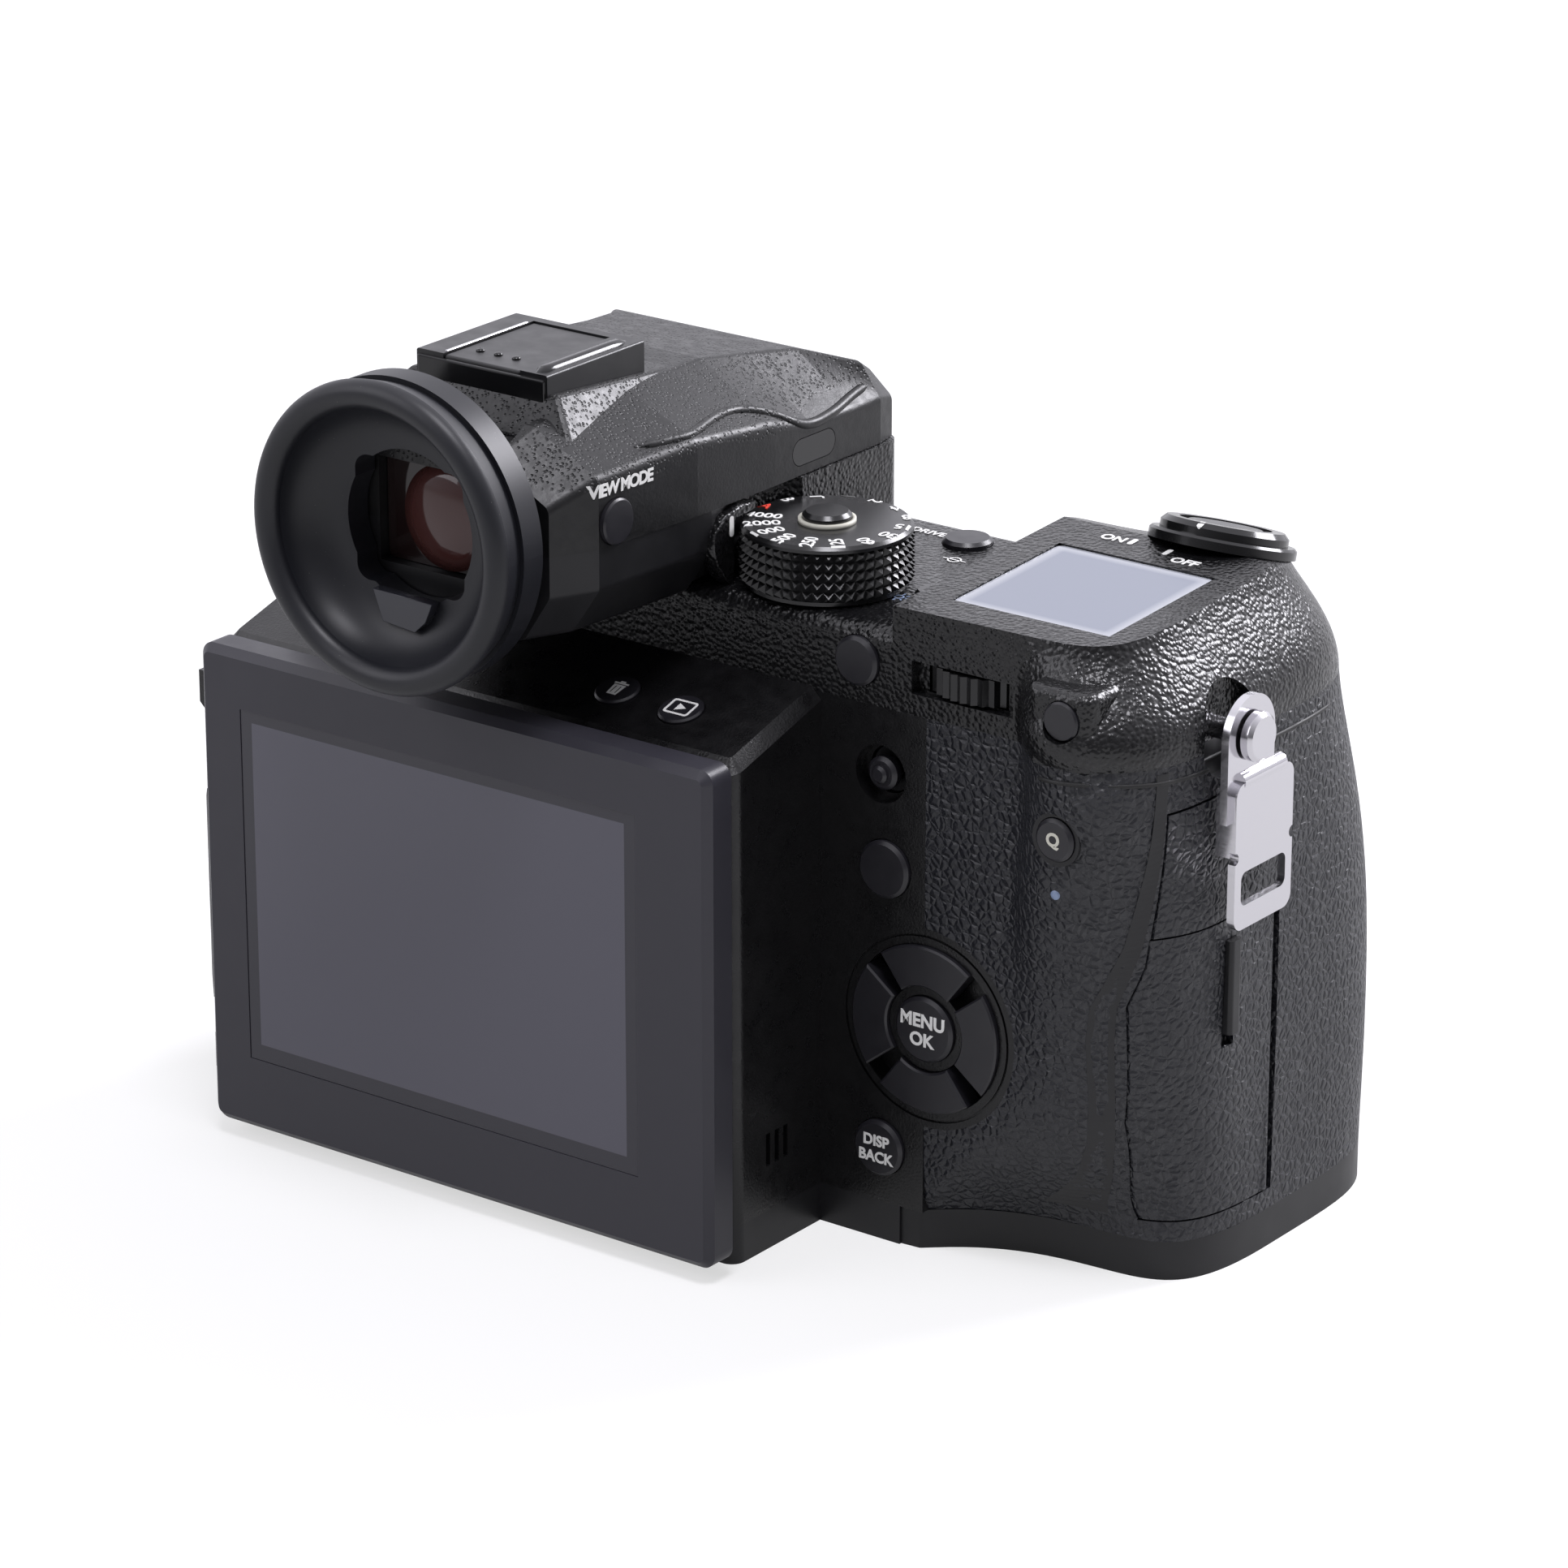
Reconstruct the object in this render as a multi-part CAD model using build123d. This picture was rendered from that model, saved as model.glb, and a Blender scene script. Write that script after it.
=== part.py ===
from build123d import *
import math
import os

# A mirrorless medium format camera body with a detachable viewfinder and a three way screen.
# X runs to the grip, Y to the subject, Z up. The origin is the mouth of the tripod socket.

# Clearances and cutting
turn_gap = 0.06
slide_gap = 0.10
seam_gap = 0.25
overrun = 5.0
far = 200.0

# Body
slab_depth = 41.6
left_reach = 51.0
grip_reach = 94.5
grip_front = 44.2
grip_root = 55.0
leather_edge = 58.7
housing_seam = 75.0
deck_height = 85.7
base_height = 5.5
shell_split = -8.0
corner_radius = 5.0
skin = 1.1
groove = 0.35
deck_round = 2.4

rear_face = -slab_depth / 2
front_face = slab_depth / 2

# Grip outline: each row gives the share of the seam height, then nine places on the plan
# outline, as shares of the reach to the side and of the reach to the front: the end of the flat
# rear face, the four poles that pull the curve round the thumb rest and its corner, the side,
# the front corner, the front and the fingers.
grip_shares = (
    (0.000, (0.611, -0.457), (0.628, -0.457), (0.806, 0.106), (0.984, -0.603), (0.998, -0.097),
     (0.998, 0.181), (0.941, 0.872), (0.804, 0.996), (0.656, 0.770)),
    (0.080, (0.611, -0.457), (0.627, -0.457), (0.820, 0.116), (0.983, -0.630), (0.998, -0.076),
     (0.998, 0.181), (0.941, 0.873), (0.804, 0.998), (0.656, 0.770)),
    (0.213, (0.698, -0.466), (0.717, -0.466), (0.846, -0.332), (1.009, -0.328), (0.999, -0.126),
     (0.999, 0.136), (0.942, 0.876), (0.804, 1.000), (0.646, 0.770)),
    (0.360, (0.751, -0.4706), (0.808, -0.4706), (0.797, -0.514), (1.033, -0.345), (1.000, -0.170),
     (1.000, 0.113), (0.942, 0.878), (0.804, 1.000), (0.640, 0.770)),
    (0.600, (0.757, -0.4706), (0.816, -0.4706), (0.791, -0.652), (1.054, -0.383), (1.000, -0.213),
     (1.000, 0.068), (0.938, 0.866), (0.799, 0.995), (0.635, 0.747)),
    (0.800, (0.763, -0.4706), (0.813, -0.4706), (0.792, -0.738), (1.048, -0.516), (1.000, -0.292),
     (1.000, 0.000), (0.934, 0.799), (0.794, 0.937), (0.635, 0.701)),
    (1.000, (0.768, -0.4706), (0.814, -0.4706), (0.805, -0.803), (1.056, -0.562), (0.999, -0.313),
     (0.999, -0.045), (0.925, 0.717), (0.783, 0.844), (0.640, 0.633)),
)
# Shoulder outline over the grip: the same places, with the share of the deck height.
shoulder_shares = (
    (0.875, (0.768, -0.4706), (0.814, -0.4706), (0.805, -0.803), (1.056, -0.562), (0.999, -0.313),
     (0.999, -0.045), (0.925, 0.717), (0.783, 0.844), (0.640, 0.633)),
    (0.957, (0.768, -0.4706), (0.805, -0.4706), (0.821, -0.767), (1.024, -0.566), (0.984, -0.264),
     (0.984, -0.023), (0.916, 0.665), (0.778, 0.801), (0.635, 0.600)),
    (1.009, (0.772, -0.464), (0.809, -0.464), (0.881, -0.533), (0.959, -0.501), (0.951, -0.145),
     (0.951, 0.034), (0.899, 0.604), (0.773, 0.740), (0.635, 0.550)),
    (1.079, (0.783, -0.450), (0.834, -0.450), (0.902, -0.454), (0.916, -0.455), (0.912, -0.147),
     (0.912, 0.045), (0.878, 0.543), (0.767, 0.668), (0.635, 0.498)),
)
finger_heading = (-0.85, -0.53)

# Plateau over the grip
plateau_left = 53.2
plateau_rear_height = 89.2
plateau_slope = math.degrees(math.atan(0.05))
plateau_rear = -20.2
plateau_break = 18.0
nose_slope = 17.0

# Raised block round the thumb button
pod_left = 78.0
pod_right = 87.6
pod_top = 85.2
pod_round = 1.3
pod_corner = 2.2

# Screen housing on the back
hump_left = 45.4
hump_right = 41.9
hump_face = -39.7
hump_rear_top = 70.2
hump_front_top = 75.6
hump_side_round = 2.0
hump_top_bevel = 1.6
speaker_slot_length = 4.6
speaker_slot_width = 0.9
speaker_pitch = 1.9
speaker_height = 12.0
speaker_y = -30.5
speaker_depth = 1.2

# Screen and its three hinges
panel_left = 43.0
panel_right = 43.5
panel_bottom = 2.2
panel_top = 71.7
panel_face = -47.2
panel_depth = 5.5
panel_bevel = 1.1
panel_corner = 2.0
panel_recess = 1.3
panel_rim = 5.0
glass_width = 67.4
glass_height = 50.7
glass_x = -2.0
glass_z = 38.2
glass_thickness = 1.3
glass_sunk = 0.12
leaf_thickness = 1.4
knuckle = 0.9
pin_radius = 0.45
pin_length = 1.5
tilt_axis_y = -41.1
tilt_axis_z = 4.2
flip_axis_z = 70.0
swing_axis_x = 38.8
swing_axis_y = -38.6
swing_knuckle = 1.25
pocket_left = 38.0
pocket_right = 40.4
pocket_bottom = 6.2
pocket_top = 66.0
pocket_floor = -37.0
leaf_left = 36.0
ear_height = 9.0
arm_half_width = 29.0
ear_width = 3.0

# Lens mount, shutter and sensor
lens_axis_height = 41.0
throat_radius = 32.5
ring_outer_radius = 37.6
ring_stand = 3.2
ring_sunk = 4.6
ring_spigot_radius = 33.9
undercut_radius = 33.1
bayonet_play = 0.3
front_leather_inner = 24.0
flange_to_sensor = 26.7
bayonet_count = 3
bayonet_angle = 46.0
bayonet_radius = 30.6
bayonet_thickness = 1.6
chamber_width = 52.0
chamber_height = 42.0
chamber_rear = 7.6
sensor_width = 43.8
sensor_height = 32.9
sensor_glass_margin = 1.6
sensor_glass_thickness = 1.2
carrier_width = 62.0
carrier_height = 50.0
carrier_thickness = 2.0
shutter_width = 70.0
shutter_height = 60.0
shutter_thickness = 5.6
shutter_window_width = 47.0
shutter_window_height = 36.0
blade_count = 3
blade_thickness = 0.25
blade_height = 5.0
board_right = 39.0
board_margin = 3.6
board_height = 56.0
board_thickness = 1.2
chip_size = 13.0
chip_thickness = 1.0
contact_count = 12
contact_radius = 0.65
contact_stand = 0.35
contact_arc = 80.0
contact_block_depth = 3.6
contact_block_inner = 26.6
contact_block_outer = 30.2
release_radius = 4.6
release_angle = 8.0
release_arm = 44.0
release_stand = 2.2

# Tripod socket
bush_radius = 7.5
bush_depth = 4.6
socket_radius = 3.175
socket_depth = 4.0

# Buttons
button_travel = 0.6
button_round = 0.5
button_sunk = 2.2
button_stand = 0.9
small_stand = 0.5
exposure_lock_place = (47.8, 80.7)
exposure_lock_radius = 3.36
autofocus_place = (52.4, 52.9)
autofocus_radius = 3.95
back_place = (51.8, 13.3)
back_radius = 3.9
quick_place = (82.0, 65.0)
quick_radius = 2.9
quick_face = -24.9
quick_bezel_radius = 3.6
bezel_stand = 0.25
thumb_place = (83.2, 81.4)
thumb_radius = 2.6
thumb_face = -26.0
menu_place = (59.1, 32.0)
menu_radius = 4.56
key_inner_radius = 6.0
key_outer_radius = 11.6
key_gap_angle = 15.0
key_stand = 0.8
key_tilt_travel = 0.5
pad_plate_radius = 13.1
top_button_radius = 3.4
drive_place = (40.0, 14.6)
lamp_place = (48.8, -6.2)
lamp_radius = 2.1
delete_place = (16.4, -31.2)
playback_place = (27.4, -31.8)
hump_button_radius = 3.1

# Focus stick
stick_place = (51.5, 65.8)
dish_radius = 4.0
dish_depth = 2.4
stick_cap_radius = 2.3
stick_cap_height = 1.5
stick_ball_radius = 1.2
stick_shaft_radius = 0.55
gimbal_radius = 3.1
gimbal_thickness = 0.9
gimbal_room = 0.5
gimbal_bore = 1.8
stick_pin_radius = 0.3
stick_pin_reach = 2.8
stick_hub_radius = 1.2

# Speed dial and sensitivity dial
dial_radius = 11.62
dial_top = 94.2
dial_base = 86.0
dial_x = 34.8
dial_y = -10.0
dial_teeth = 48
dial_rows = 5
tooth_depth = 0.85
dial_rim = 0.9
dial_rim_inset = 0.2
dial_foot = 0.5
lock_radius = 3.3
lock_stand = 2.0
dial_axle_radius = 4.4
dial_axle_length = 2.4
iso_inset = 13.4
iso_y = -3.0
iso_radius = 10.8
iso_top = 93.4
iso_teeth = 60
iso_tooth_depth = 0.5

# Command dials
rear_dial_x = 64.25
rear_dial_z = 80.15
rear_dial_radius = 9.0
rear_dial_width = 3.6
rear_dial_proud = 0.5
rear_slot_width = 15.9
rear_slot_height = 4.5
rear_slot_depth = 1.6
front_dial_x = 74.0
front_dial_z = 78.6
front_dial_radius = 8.0
front_dial_width = 4.0
front_dial_proud = 1.0
front_dial_reach = 36.4
command_teeth = 36
command_tooth_depth = 0.45
command_axle_radius = 1.4
command_axle_length = 1.2
wheel_gap = 0.3

# Power lever and shutter button
shutter_axis_x = 74.2
shutter_axis_y = 24.0
power_ring_radius = 9.9
power_ring_height = 3.2
power_tier_height = 1.5
power_tier_radius = 8.6
power_ring_bore = 6.2
power_tab_reach = 12.6
power_tab_width = 5.0
collar_radius = 5.9
shutter_button_radius = 5.2
shutter_button_height = 3.4
shutter_travel = 1.2
dish_sphere = 22.0
shutter_dish = 0.35

# Top display
display_x = 70.5
display_y = -2.7
display_size = 24.4
display_thickness = 1.0
display_sunk = 0.25
display_corner = 1.0

# Card door and its bay
door_bottom = 8.6
door_top = 50.6
door_line_top = 68.4
door_front = 8.0
door_knuckle = 1.2
door_thickness = 2.6
door_pin_radius = 0.6
# The door's rear edge: share of the height from its foot to the top line, share of its reach.
door_edge_shares = ((0.000, -0.61), (0.255, -0.87), (0.545, -1.00), (0.640, -0.945), (1.000, -0.97))
door_seam_reach = 17.4
bay_x = 88.2
bay_rear = -6.4
bay_front = 5.0
bay_bottom = 15.0
slots_depth = 6.4
card_width = 24.2
card_thickness = 2.3
card_slot_depth = 4.6
latch_y = -3.4
latch_z = 41.2
latch_length = 13.0
latch_width = 2.4
latch_stand = 1.3
latch_sunk = 1.3
latch_travel = 2.0

# Battery door and battery
battery_door_left = 49.2
battery_bulge_left = 53.0
battery_door_top = 54.0
battery_door_rear = -38.0
battery_door_front = -23.4
battery_door_seat = 45.6
bulge_bottom = 15.0
bulge_top = 46.0
bulge_bevel = 3.6
bulge_rear = -37.6
bulge_front = -29.0
latch_house_bottom = 55.0
latch_house_top = 63.2
latch_house_left = 51.6
foot_top = 5.6
battery_hinge_x = -47.6
battery_hinge_z = 9.6
battery_length = 62.0
battery_depth = 11.4
battery_height = 36.0

# Connector door
socket_door_rear = -13.0
socket_door_front = 12.5
socket_door_bottom = 12.0
socket_door_top = 53.0
socket_door_thickness = 2.2
socket_door_knuckle = 1.1
socket_bay_depth = 3.2
socket_panel_thickness = 3.0
socket_count = 4
socket_height = 4.2
socket_width = 8.4
socket_cut = 1.4
socket_pitch = 11.4

# Strap studs and clips
stud_y = -4.6
stud_z = 76.6
stud_left_z = 80.0
stud_shaft_radius = 1.5
stud_head_radius = 3.3
stud_head_thickness = 1.5
stud_root_depth = 5.5
stud_stand = 3.7
stud_recess_radius = 6.4
stud_seat_depth = 2.3
clip_plate = 1.1
clip_gap = 0.35
clip_eye_radius = 5.4
clip_width = 13.4
clip_top_drop = 5.6
clip_bottom_drop = 25.6
clip_roll_radius = 1.25
clip_notch_radius = 0.8
clip_slot_width = 10.4
clip_slot_height = 4.6
clip_slot_margin = 3.2
clip_corner = 1.8
clip_shift = 2.2

# Viewfinder
finder_seam = 96.4
finder_half_width = 24.5
finder_front = 19.8
finder_rear = -49.0
finder_step = -13.0
finder_bottom = 84.3
finder_step_bottom = 86.1
pedestal_half_width = 25.0
pedestal_rear = -12.6
pedestal_corner = 3.0
# Cross sections of the viewfinder cover, front last: share of the way from the rear to the
# front, then half the width, the shoulder height and the roof's half width and height, as
# shares of the half width and of the roof height over the seam.
finder_roof = 15.4
cover_shares = (
    (0.000, 0.80, 0.42, 0.42, 0.74),
    (0.090, 0.93, 0.62, 0.50, 0.95),
    (0.363, 0.99, 0.66, 0.50, 1.00),
    (0.600, 1.00, 0.55, 0.50, 1.00),
    (0.720, 1.00, 0.42, 0.54, 0.93),
    (0.850, 1.00, 0.41, 0.62, 0.86),
    (0.945, 1.00, 0.40, 0.86, 0.71),
    (1.000, 0.965, 0.36, 0.80, 0.58),
)
# Cross sections of its lower part, front last: the side and the bottom as shares of the half width.
base_shares = (
    (0.000, 0.80, 0.62),
    (0.172, 0.93, 0.74),
    (0.780, 0.985, 0.81),
    (1.000, 0.935, 0.80),
)
base_side_bevel_share = 0.45
finder_round = 1.5
notch_floor = 108.4
rail_half_width = 9.0
rail_lip_half_width = 11.0
rail_height = 1.6
rail_lip = 1.6
rail_length = 26.0
rail_start = -11.8

# Hot shoe
shoe_half_width = 10.9
shoe_inner_half = 9.35
shoe_mouth_half = 6.4
shoe_rear = -38.2
shoe_front = -18.0
shoe_top = 116.4
shoe_plate = 1.2
shoe_channel = 2.1
shoe_lip = 0.8
shoe_wall = 1.5
shoe_skirt = 3.9
shoe_rail_round = 0.35
shoe_pin_radius = 0.7
shoe_pin_stand = 0.2
shoe_pin_pitch = 3.4
shoe_pin_y = -33.0

# Eyepiece
eye_height = 97.8
eye_lip = -60.7
eye_root = -49.3
eye_max_radius = 21.0
eye_waist_radius = 19.9
eye_band_radius = 20.6
eye_root_radius = 18.0
eye_lip_round = 1.9
eye_throat_radius = 10.4
eye_floor = -53.2
eye_waist = -55.3
eye_neck = 2.2
eye_aperture_width = 18.0
eye_aperture_height = 17.0
eyepiece_width = 17.0
eyepiece_height = 14.0
eyepiece_thickness = 1.6
view_button_place = (-39.6, 99.6)
view_button_radius = 3.1
release_pad_y = 1.0
release_pad_z = 99.6
release_pad_length = 9.4
release_pad_height = 3.6

socket_relief = 2 * seam_gap
middle = (Align.CENTER, Align.CENTER, Align.CENTER)
standing = (Align.CENTER, Align.CENTER, Align.MIN)
backward = (0, -1, 0)
forward = (0, 1, 0)
upward = (0, 0, 1)
rightward = (1, 0, 0)
leftward = (-1, 0, 0)


def block(x_span, y_span, z_span):
    """A box between two planes on each axis."""
    size = [span[1] - span[0] for span in (x_span, y_span, z_span)]
    centre = [(span[1] + span[0]) / 2 for span in (x_span, y_span, z_span)]
    return Pos(*centre) * Box(*size)


def rod(start, heading, radius, length):
    """A round bar that starts at a point and runs along a heading."""
    return Plane(origin=start, z_dir=heading) * Cylinder(radius, length, align=standing)


def tube(start, heading, outer, inner, length):
    """A round bar with a bore."""
    return rod(start, heading, outer, length) - rod(start, heading, inner, length)


def push_button(face_point, heading, radius, stand, sunk):
    """A round button: the part that stands out has a rounded rim."""
    plane = Plane(origin=face_point, z_dir=heading)
    cap = Cylinder(radius, stand + sunk, align=standing)
    cap = chamfer(cap.faces().sort_by(Axis.Z)[-1].edges(), min(button_round, stand / 2))
    return plane * (Pos(0, 0, -sunk) * cap)


def button_well(face_point, heading, radius, sunk):
    """The hole that a button of this radius slides in."""
    plane = Plane(origin=face_point, z_dir=heading)
    depth = sunk + button_travel + slide_gap
    return plane * (Pos(0, 0, -depth) * Cylinder(radius + slide_gap, depth + overrun, align=standing))


def toothed_disc(radius, depth, teeth, height):
    """A disc whose rim is cut into pointed teeth, standing on the origin."""
    step = 360 / teeth
    points = []
    for index in range(teeth):
        crest = math.radians(index * step)
        root = math.radians((index + 0.5) * step)
        points.append((radius * math.cos(crest), radius * math.sin(crest)))
        points.append(((radius - depth) * math.cos(root), (radius - depth) * math.sin(root)))
    outline = Polyline(*points, close=True)
    return extrude(make_face(outline), amount=height)


def plan_section(shares, height, root, inset):
    """One plan outline of the grip at a height, drawn in by an inset."""
    centre_x = (grip_reach + root) / 2
    centre_y = (grip_front + rear_face) / 2
    shrink_x = 1 - inset / (centre_x - root)
    shrink_y = 1 - inset / (grip_front - centre_y)

    def place(x, y):
        return (centre_x + (x - centre_x) * shrink_x, centre_y + (y - centre_y) * shrink_y, height)

    places = [place(x * grip_reach, y * grip_front) for x, y in shares]
    flat, side, corner, front, finger = places[0], *places[-4:]
    root_front = place(root, front_face)
    inner_rear = place(root - overrun, rear_face)
    inner_front = place(root - overrun, front_face)
    edges = [
        Line(inner_rear, flat),
        Bezier(*places[:-3]),
        Spline(side, corner, front, tangents=[forward, leftward]),
        Spline(front, finger, root_front, tangents=[leftward, (*finger_heading, 0)]),
        Line(root_front, inner_front),
        Line(inner_front, inner_rear),
    ]
    return make_face(edges)


def grip_volume(inset):
    """The grip from the base to the housing seam."""
    sections = [plan_section(row[1:], row[0] * housing_seam, grip_root, inset) for row in grip_shares]
    return loft(sections, ruled=inset > 0)


def shoulder_volume():
    """The housing over the grip, under the sloping plateau and the nose by the shutter button."""
    sections = [plan_section(row[1:], row[0] * deck_height, plateau_left, 0) for row in shoulder_shares]
    body = loft(sections)
    body -= plateau_plane * Box(2 * far, 2 * far, far, align=standing)
    body -= nose_plane * Box(2 * far, 2 * far, far, align=standing)
    return body & block((plateau_left, far), (-far, far), (housing_seam, far))


def thumb_pod():
    """The block that stands out round the thumb button, with rounded rear edges."""
    pod = block((pod_left, pod_right), (thumb_face, rear_face + overrun), (housing_seam, pod_top))
    rear_edges = pod.faces().sort_by(Axis.Y)[0].edges().sort_by(Axis.X)
    pod = fillet(rear_edges[-1], pod_corner)
    rear_edges = pod.faces().sort_by(Axis.Y)[0].edges()
    upper = rear_edges.filter_by(lambda edge: edge.center().Z > pod_top - pod_round)
    left = rear_edges.sort_by(Axis.X)[:1]
    return fillet(upper + left, pod_round)


def slab_volume(right, bottom, top):
    """The straight part of the body, with rounded left corners."""
    body = block((-left_reach, right), (rear_face, front_face), (bottom, top))
    corners = body.edges().filter_by(Axis.Z).sort_by(Axis.X)[:2]
    return fillet(corners, corner_radius)


def hump_volume(bottom):
    """The screen housing: its top slopes up to the deck and its rear corners are rounded."""
    profile = Polyline(
        (hump_face, bottom), (hump_face, hump_rear_top), (rear_face, hump_front_top),
        (rear_face, bottom), close=True)
    body = Plane.YZ * make_face(profile)
    body = extrude(body, amount=hump_right + hump_left, dir=rightward)
    body = Pos(-hump_left, 0, 0) * body
    verticals = body.edges().filter_by(Axis.Z).filter_by(lambda edge: edge.center().Y < speaker_y)
    body = fillet(verticals, hump_side_round)
    slope = body.edges().filter_by(
        lambda edge: edge.center().Z > hump_rear_top and abs(edge.center().X - hump_right) < skin)
    return chamfer(slope, hump_top_bevel)


def lens_point(y):
    """A point on the lens axis."""
    return (0, y, lens_axis_height)


plateau_plane = Plane(origin=(0, plateau_rear, plateau_rear_height)).rotated((plateau_slope, 0, 0))
rise_to_break = (plateau_break - plateau_rear) * math.tan(math.radians(plateau_slope))
nose_plane = Plane(origin=(0, plateau_break, plateau_rear_height + rise_to_break)).rotated(
    (-nose_slope, 0, 0))
nose_drop = (shutter_axis_y - plateau_break) * math.tan(math.radians(nose_slope))
shutter_axis_z = plateau_rear_height + rise_to_break - nose_drop
shutter_plane = Plane(origin=(shutter_axis_x, shutter_axis_y, shutter_axis_z)).rotated((-nose_slope, 0, 0))
display_rise = (display_y - plateau_rear) * math.tan(math.radians(plateau_slope))
display_plane = Plane(
    origin=(display_x, display_y, plateau_rear_height + display_rise)).rotated((plateau_slope, 0, 0))
hump_slope = math.degrees(math.atan((hump_front_top - hump_rear_top) / (rear_face - hump_face)))
hump_heading = (0, -math.sin(math.radians(hump_slope)), math.cos(math.radians(hump_slope)))
flange_y = front_face + ring_stand
sensor_y = flange_y - flange_to_sensor
release_point = (release_arm * math.cos(math.radians(release_angle)), front_face,
                 lens_axis_height - release_arm * math.sin(math.radians(release_angle)))
board_y = shell_split - board_thickness
board_pocket = board_y - 3 * chip_thickness - board_thickness
board_left = left_reach - socket_door_thickness - socket_bay_depth - socket_panel_thickness - board_margin
gimbal_y = rear_face + dish_depth + gimbal_room + gimbal_thickness / 2
quick_point = (quick_place[0], quick_face, quick_place[1])
thumb_point = (thumb_place[0], thumb_face, thumb_place[1])
iso_x = iso_inset - left_reach
battery_bay_rear = pocket_floor + 1.4 * skin
battery_bay = ((-hump_left - overrun, battery_length - hump_left + skin),
               (battery_bay_rear, battery_bay_rear + battery_depth + 2 * slide_gap),
               (bulge_bottom - 2 * skin, bulge_bottom - 2 * skin + battery_height + 2 * slide_gap))
stud_right_head = grip_reach + stud_stand
stud_left_head = -left_reach - stud_stand
stud_rows = ((grip_reach - stud_root_depth, stud_right_head, stud_z),
             (stud_root_depth - left_reach, stud_left_head, stud_left_z))
rear_dial_centre = (rear_dial_x, rear_face - rear_dial_proud + rear_dial_radius, rear_dial_z)
front_dial_centre = (front_dial_x, front_dial_reach + front_dial_proud - front_dial_radius, front_dial_z)
shoe_seat = shoe_top - shoe_lip - shoe_channel - shoe_plate - shoe_skirt
release_pad = (finder_half_width, release_pad_y, release_pad_z)
view_point = (finder_half_width * 0.945, view_button_place[0], view_button_place[1])


def hump_point(place):
    """A point on the sloping top of the screen housing."""
    x, y = place
    return (x, y, hump_rear_top + (y - hump_face) * math.tan(math.radians(hump_slope)))


def rear_point(place):
    """A point on the flat rear face."""
    return (place[0], rear_face, place[1])


grip_outer = grip_volume(0)
grip_inner = grip_volume(skin)


# Fixed shells of the body
door_axis = (grip_reach - door_knuckle, door_front - door_knuckle)
door_inner_x = grip_reach - 5 * door_thickness
socket_axis = (-left_reach + socket_door_knuckle, socket_door_front - socket_door_knuckle)
pad_edge = pad_plate_radius + button_stand
pad_lobe = rod(rear_point(menu_place), forward, pad_edge, shell_split - rear_face)
pad_room = rod((menu_place[0], rear_face - overrun, menu_place[1]), forward, pad_edge,
               shell_split - rear_face + overrun)


def socket_door_cut():
    """The seat of the connector door in the left side, with the turning room of its knuckle."""
    seat = block((-left_reach - overrun, -left_reach + socket_door_thickness),
                 (socket_door_rear - seam_gap, socket_axis[1]),
                 (socket_door_bottom - seam_gap, socket_door_top + seam_gap))
    turn = rod((*socket_axis, socket_door_bottom - seam_gap), upward, socket_door_knuckle + slide_gap,
               socket_door_top - socket_door_bottom + 2 * seam_gap)
    pins = rod((*socket_axis, socket_door_bottom - pin_length - seam_gap), upward,
               pin_radius + turn_gap, socket_door_top - socket_door_bottom + 2 * (pin_length + seam_gap))
    bay_depth = socket_door_thickness + socket_bay_depth + socket_panel_thickness
    bay = block((-left_reach, bay_depth - left_reach),
                (socket_door_rear + skin, socket_axis[1] - 2 * socket_door_knuckle),
                (socket_door_bottom + skin, socket_door_top - skin))
    swing = block((-left_reach - overrun, socket_axis[0]),
                  (socket_axis[1], socket_axis[1] + socket_door_knuckle + socket_relief),
                  (socket_door_bottom - seam_gap, socket_door_top + seam_gap))
    return seat + turn + pins + bay + swing


def front_left_leather():
    """The flat rubber panel beside the lens mount, cut round its ring and let into the front."""
    panel = block((-left_reach + corner_radius, -front_leather_inner),
                  (front_face - skin, front_face), (base_height + skin, housing_seam - skin))
    return panel - rod(lens_point(front_face - skin), forward, ring_outer_radius + 2 * skin, overrun)


def shutter_room():
    """The space of the shutter unit behind the lens mount."""
    half_x = shutter_width / 2 + slide_gap
    half_z = shutter_height / 2 + slide_gap
    return block((-half_x, half_x), (shell_split - overrun, chamber_rear),
                 (lens_axis_height - half_z, lens_axis_height + half_z))


def board_room():
    """The space of the circuit board and its chips, with a post left at each corner."""
    left = -board_left - slide_gap
    right = board_right + slide_gap
    half_z = board_height / 2 + slide_gap
    room = block((left, right), (board_pocket, shell_split + overrun),
                 (lens_axis_height - half_z, lens_axis_height + half_z))
    inset = chip_thickness * 3
    for x in (left + inset, right - inset):
        for level in (-1, 1):
            post = (x, board_pocket, lens_axis_height + level * (half_z - inset))
            room -= rod(post, forward, chip_thickness * 1.6, board_y - board_thickness - board_pocket)
    return room


def front_casting():
    body = slab_volume(grip_root, base_height, housing_seam)
    body &= block((-far, far), (shell_split, far), (0, far))
    body -= rod(lens_point(front_face - ring_sunk), forward, ring_spigot_radius, ring_sunk)
    body -= rod(lens_point(chamber_rear + ring_sunk), forward, undercut_radius, front_face - chamber_rear)
    body -= block((-chamber_width / 2, chamber_width / 2), (chamber_rear - overrun, front_face),
                  (lens_axis_height - chamber_height / 2, lens_axis_height + chamber_height / 2))
    body -= shutter_room()
    body -= front_left_leather()
    body -= socket_door_cut()
    body -= button_well(release_point, forward, release_radius, button_sunk)
    return body


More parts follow.
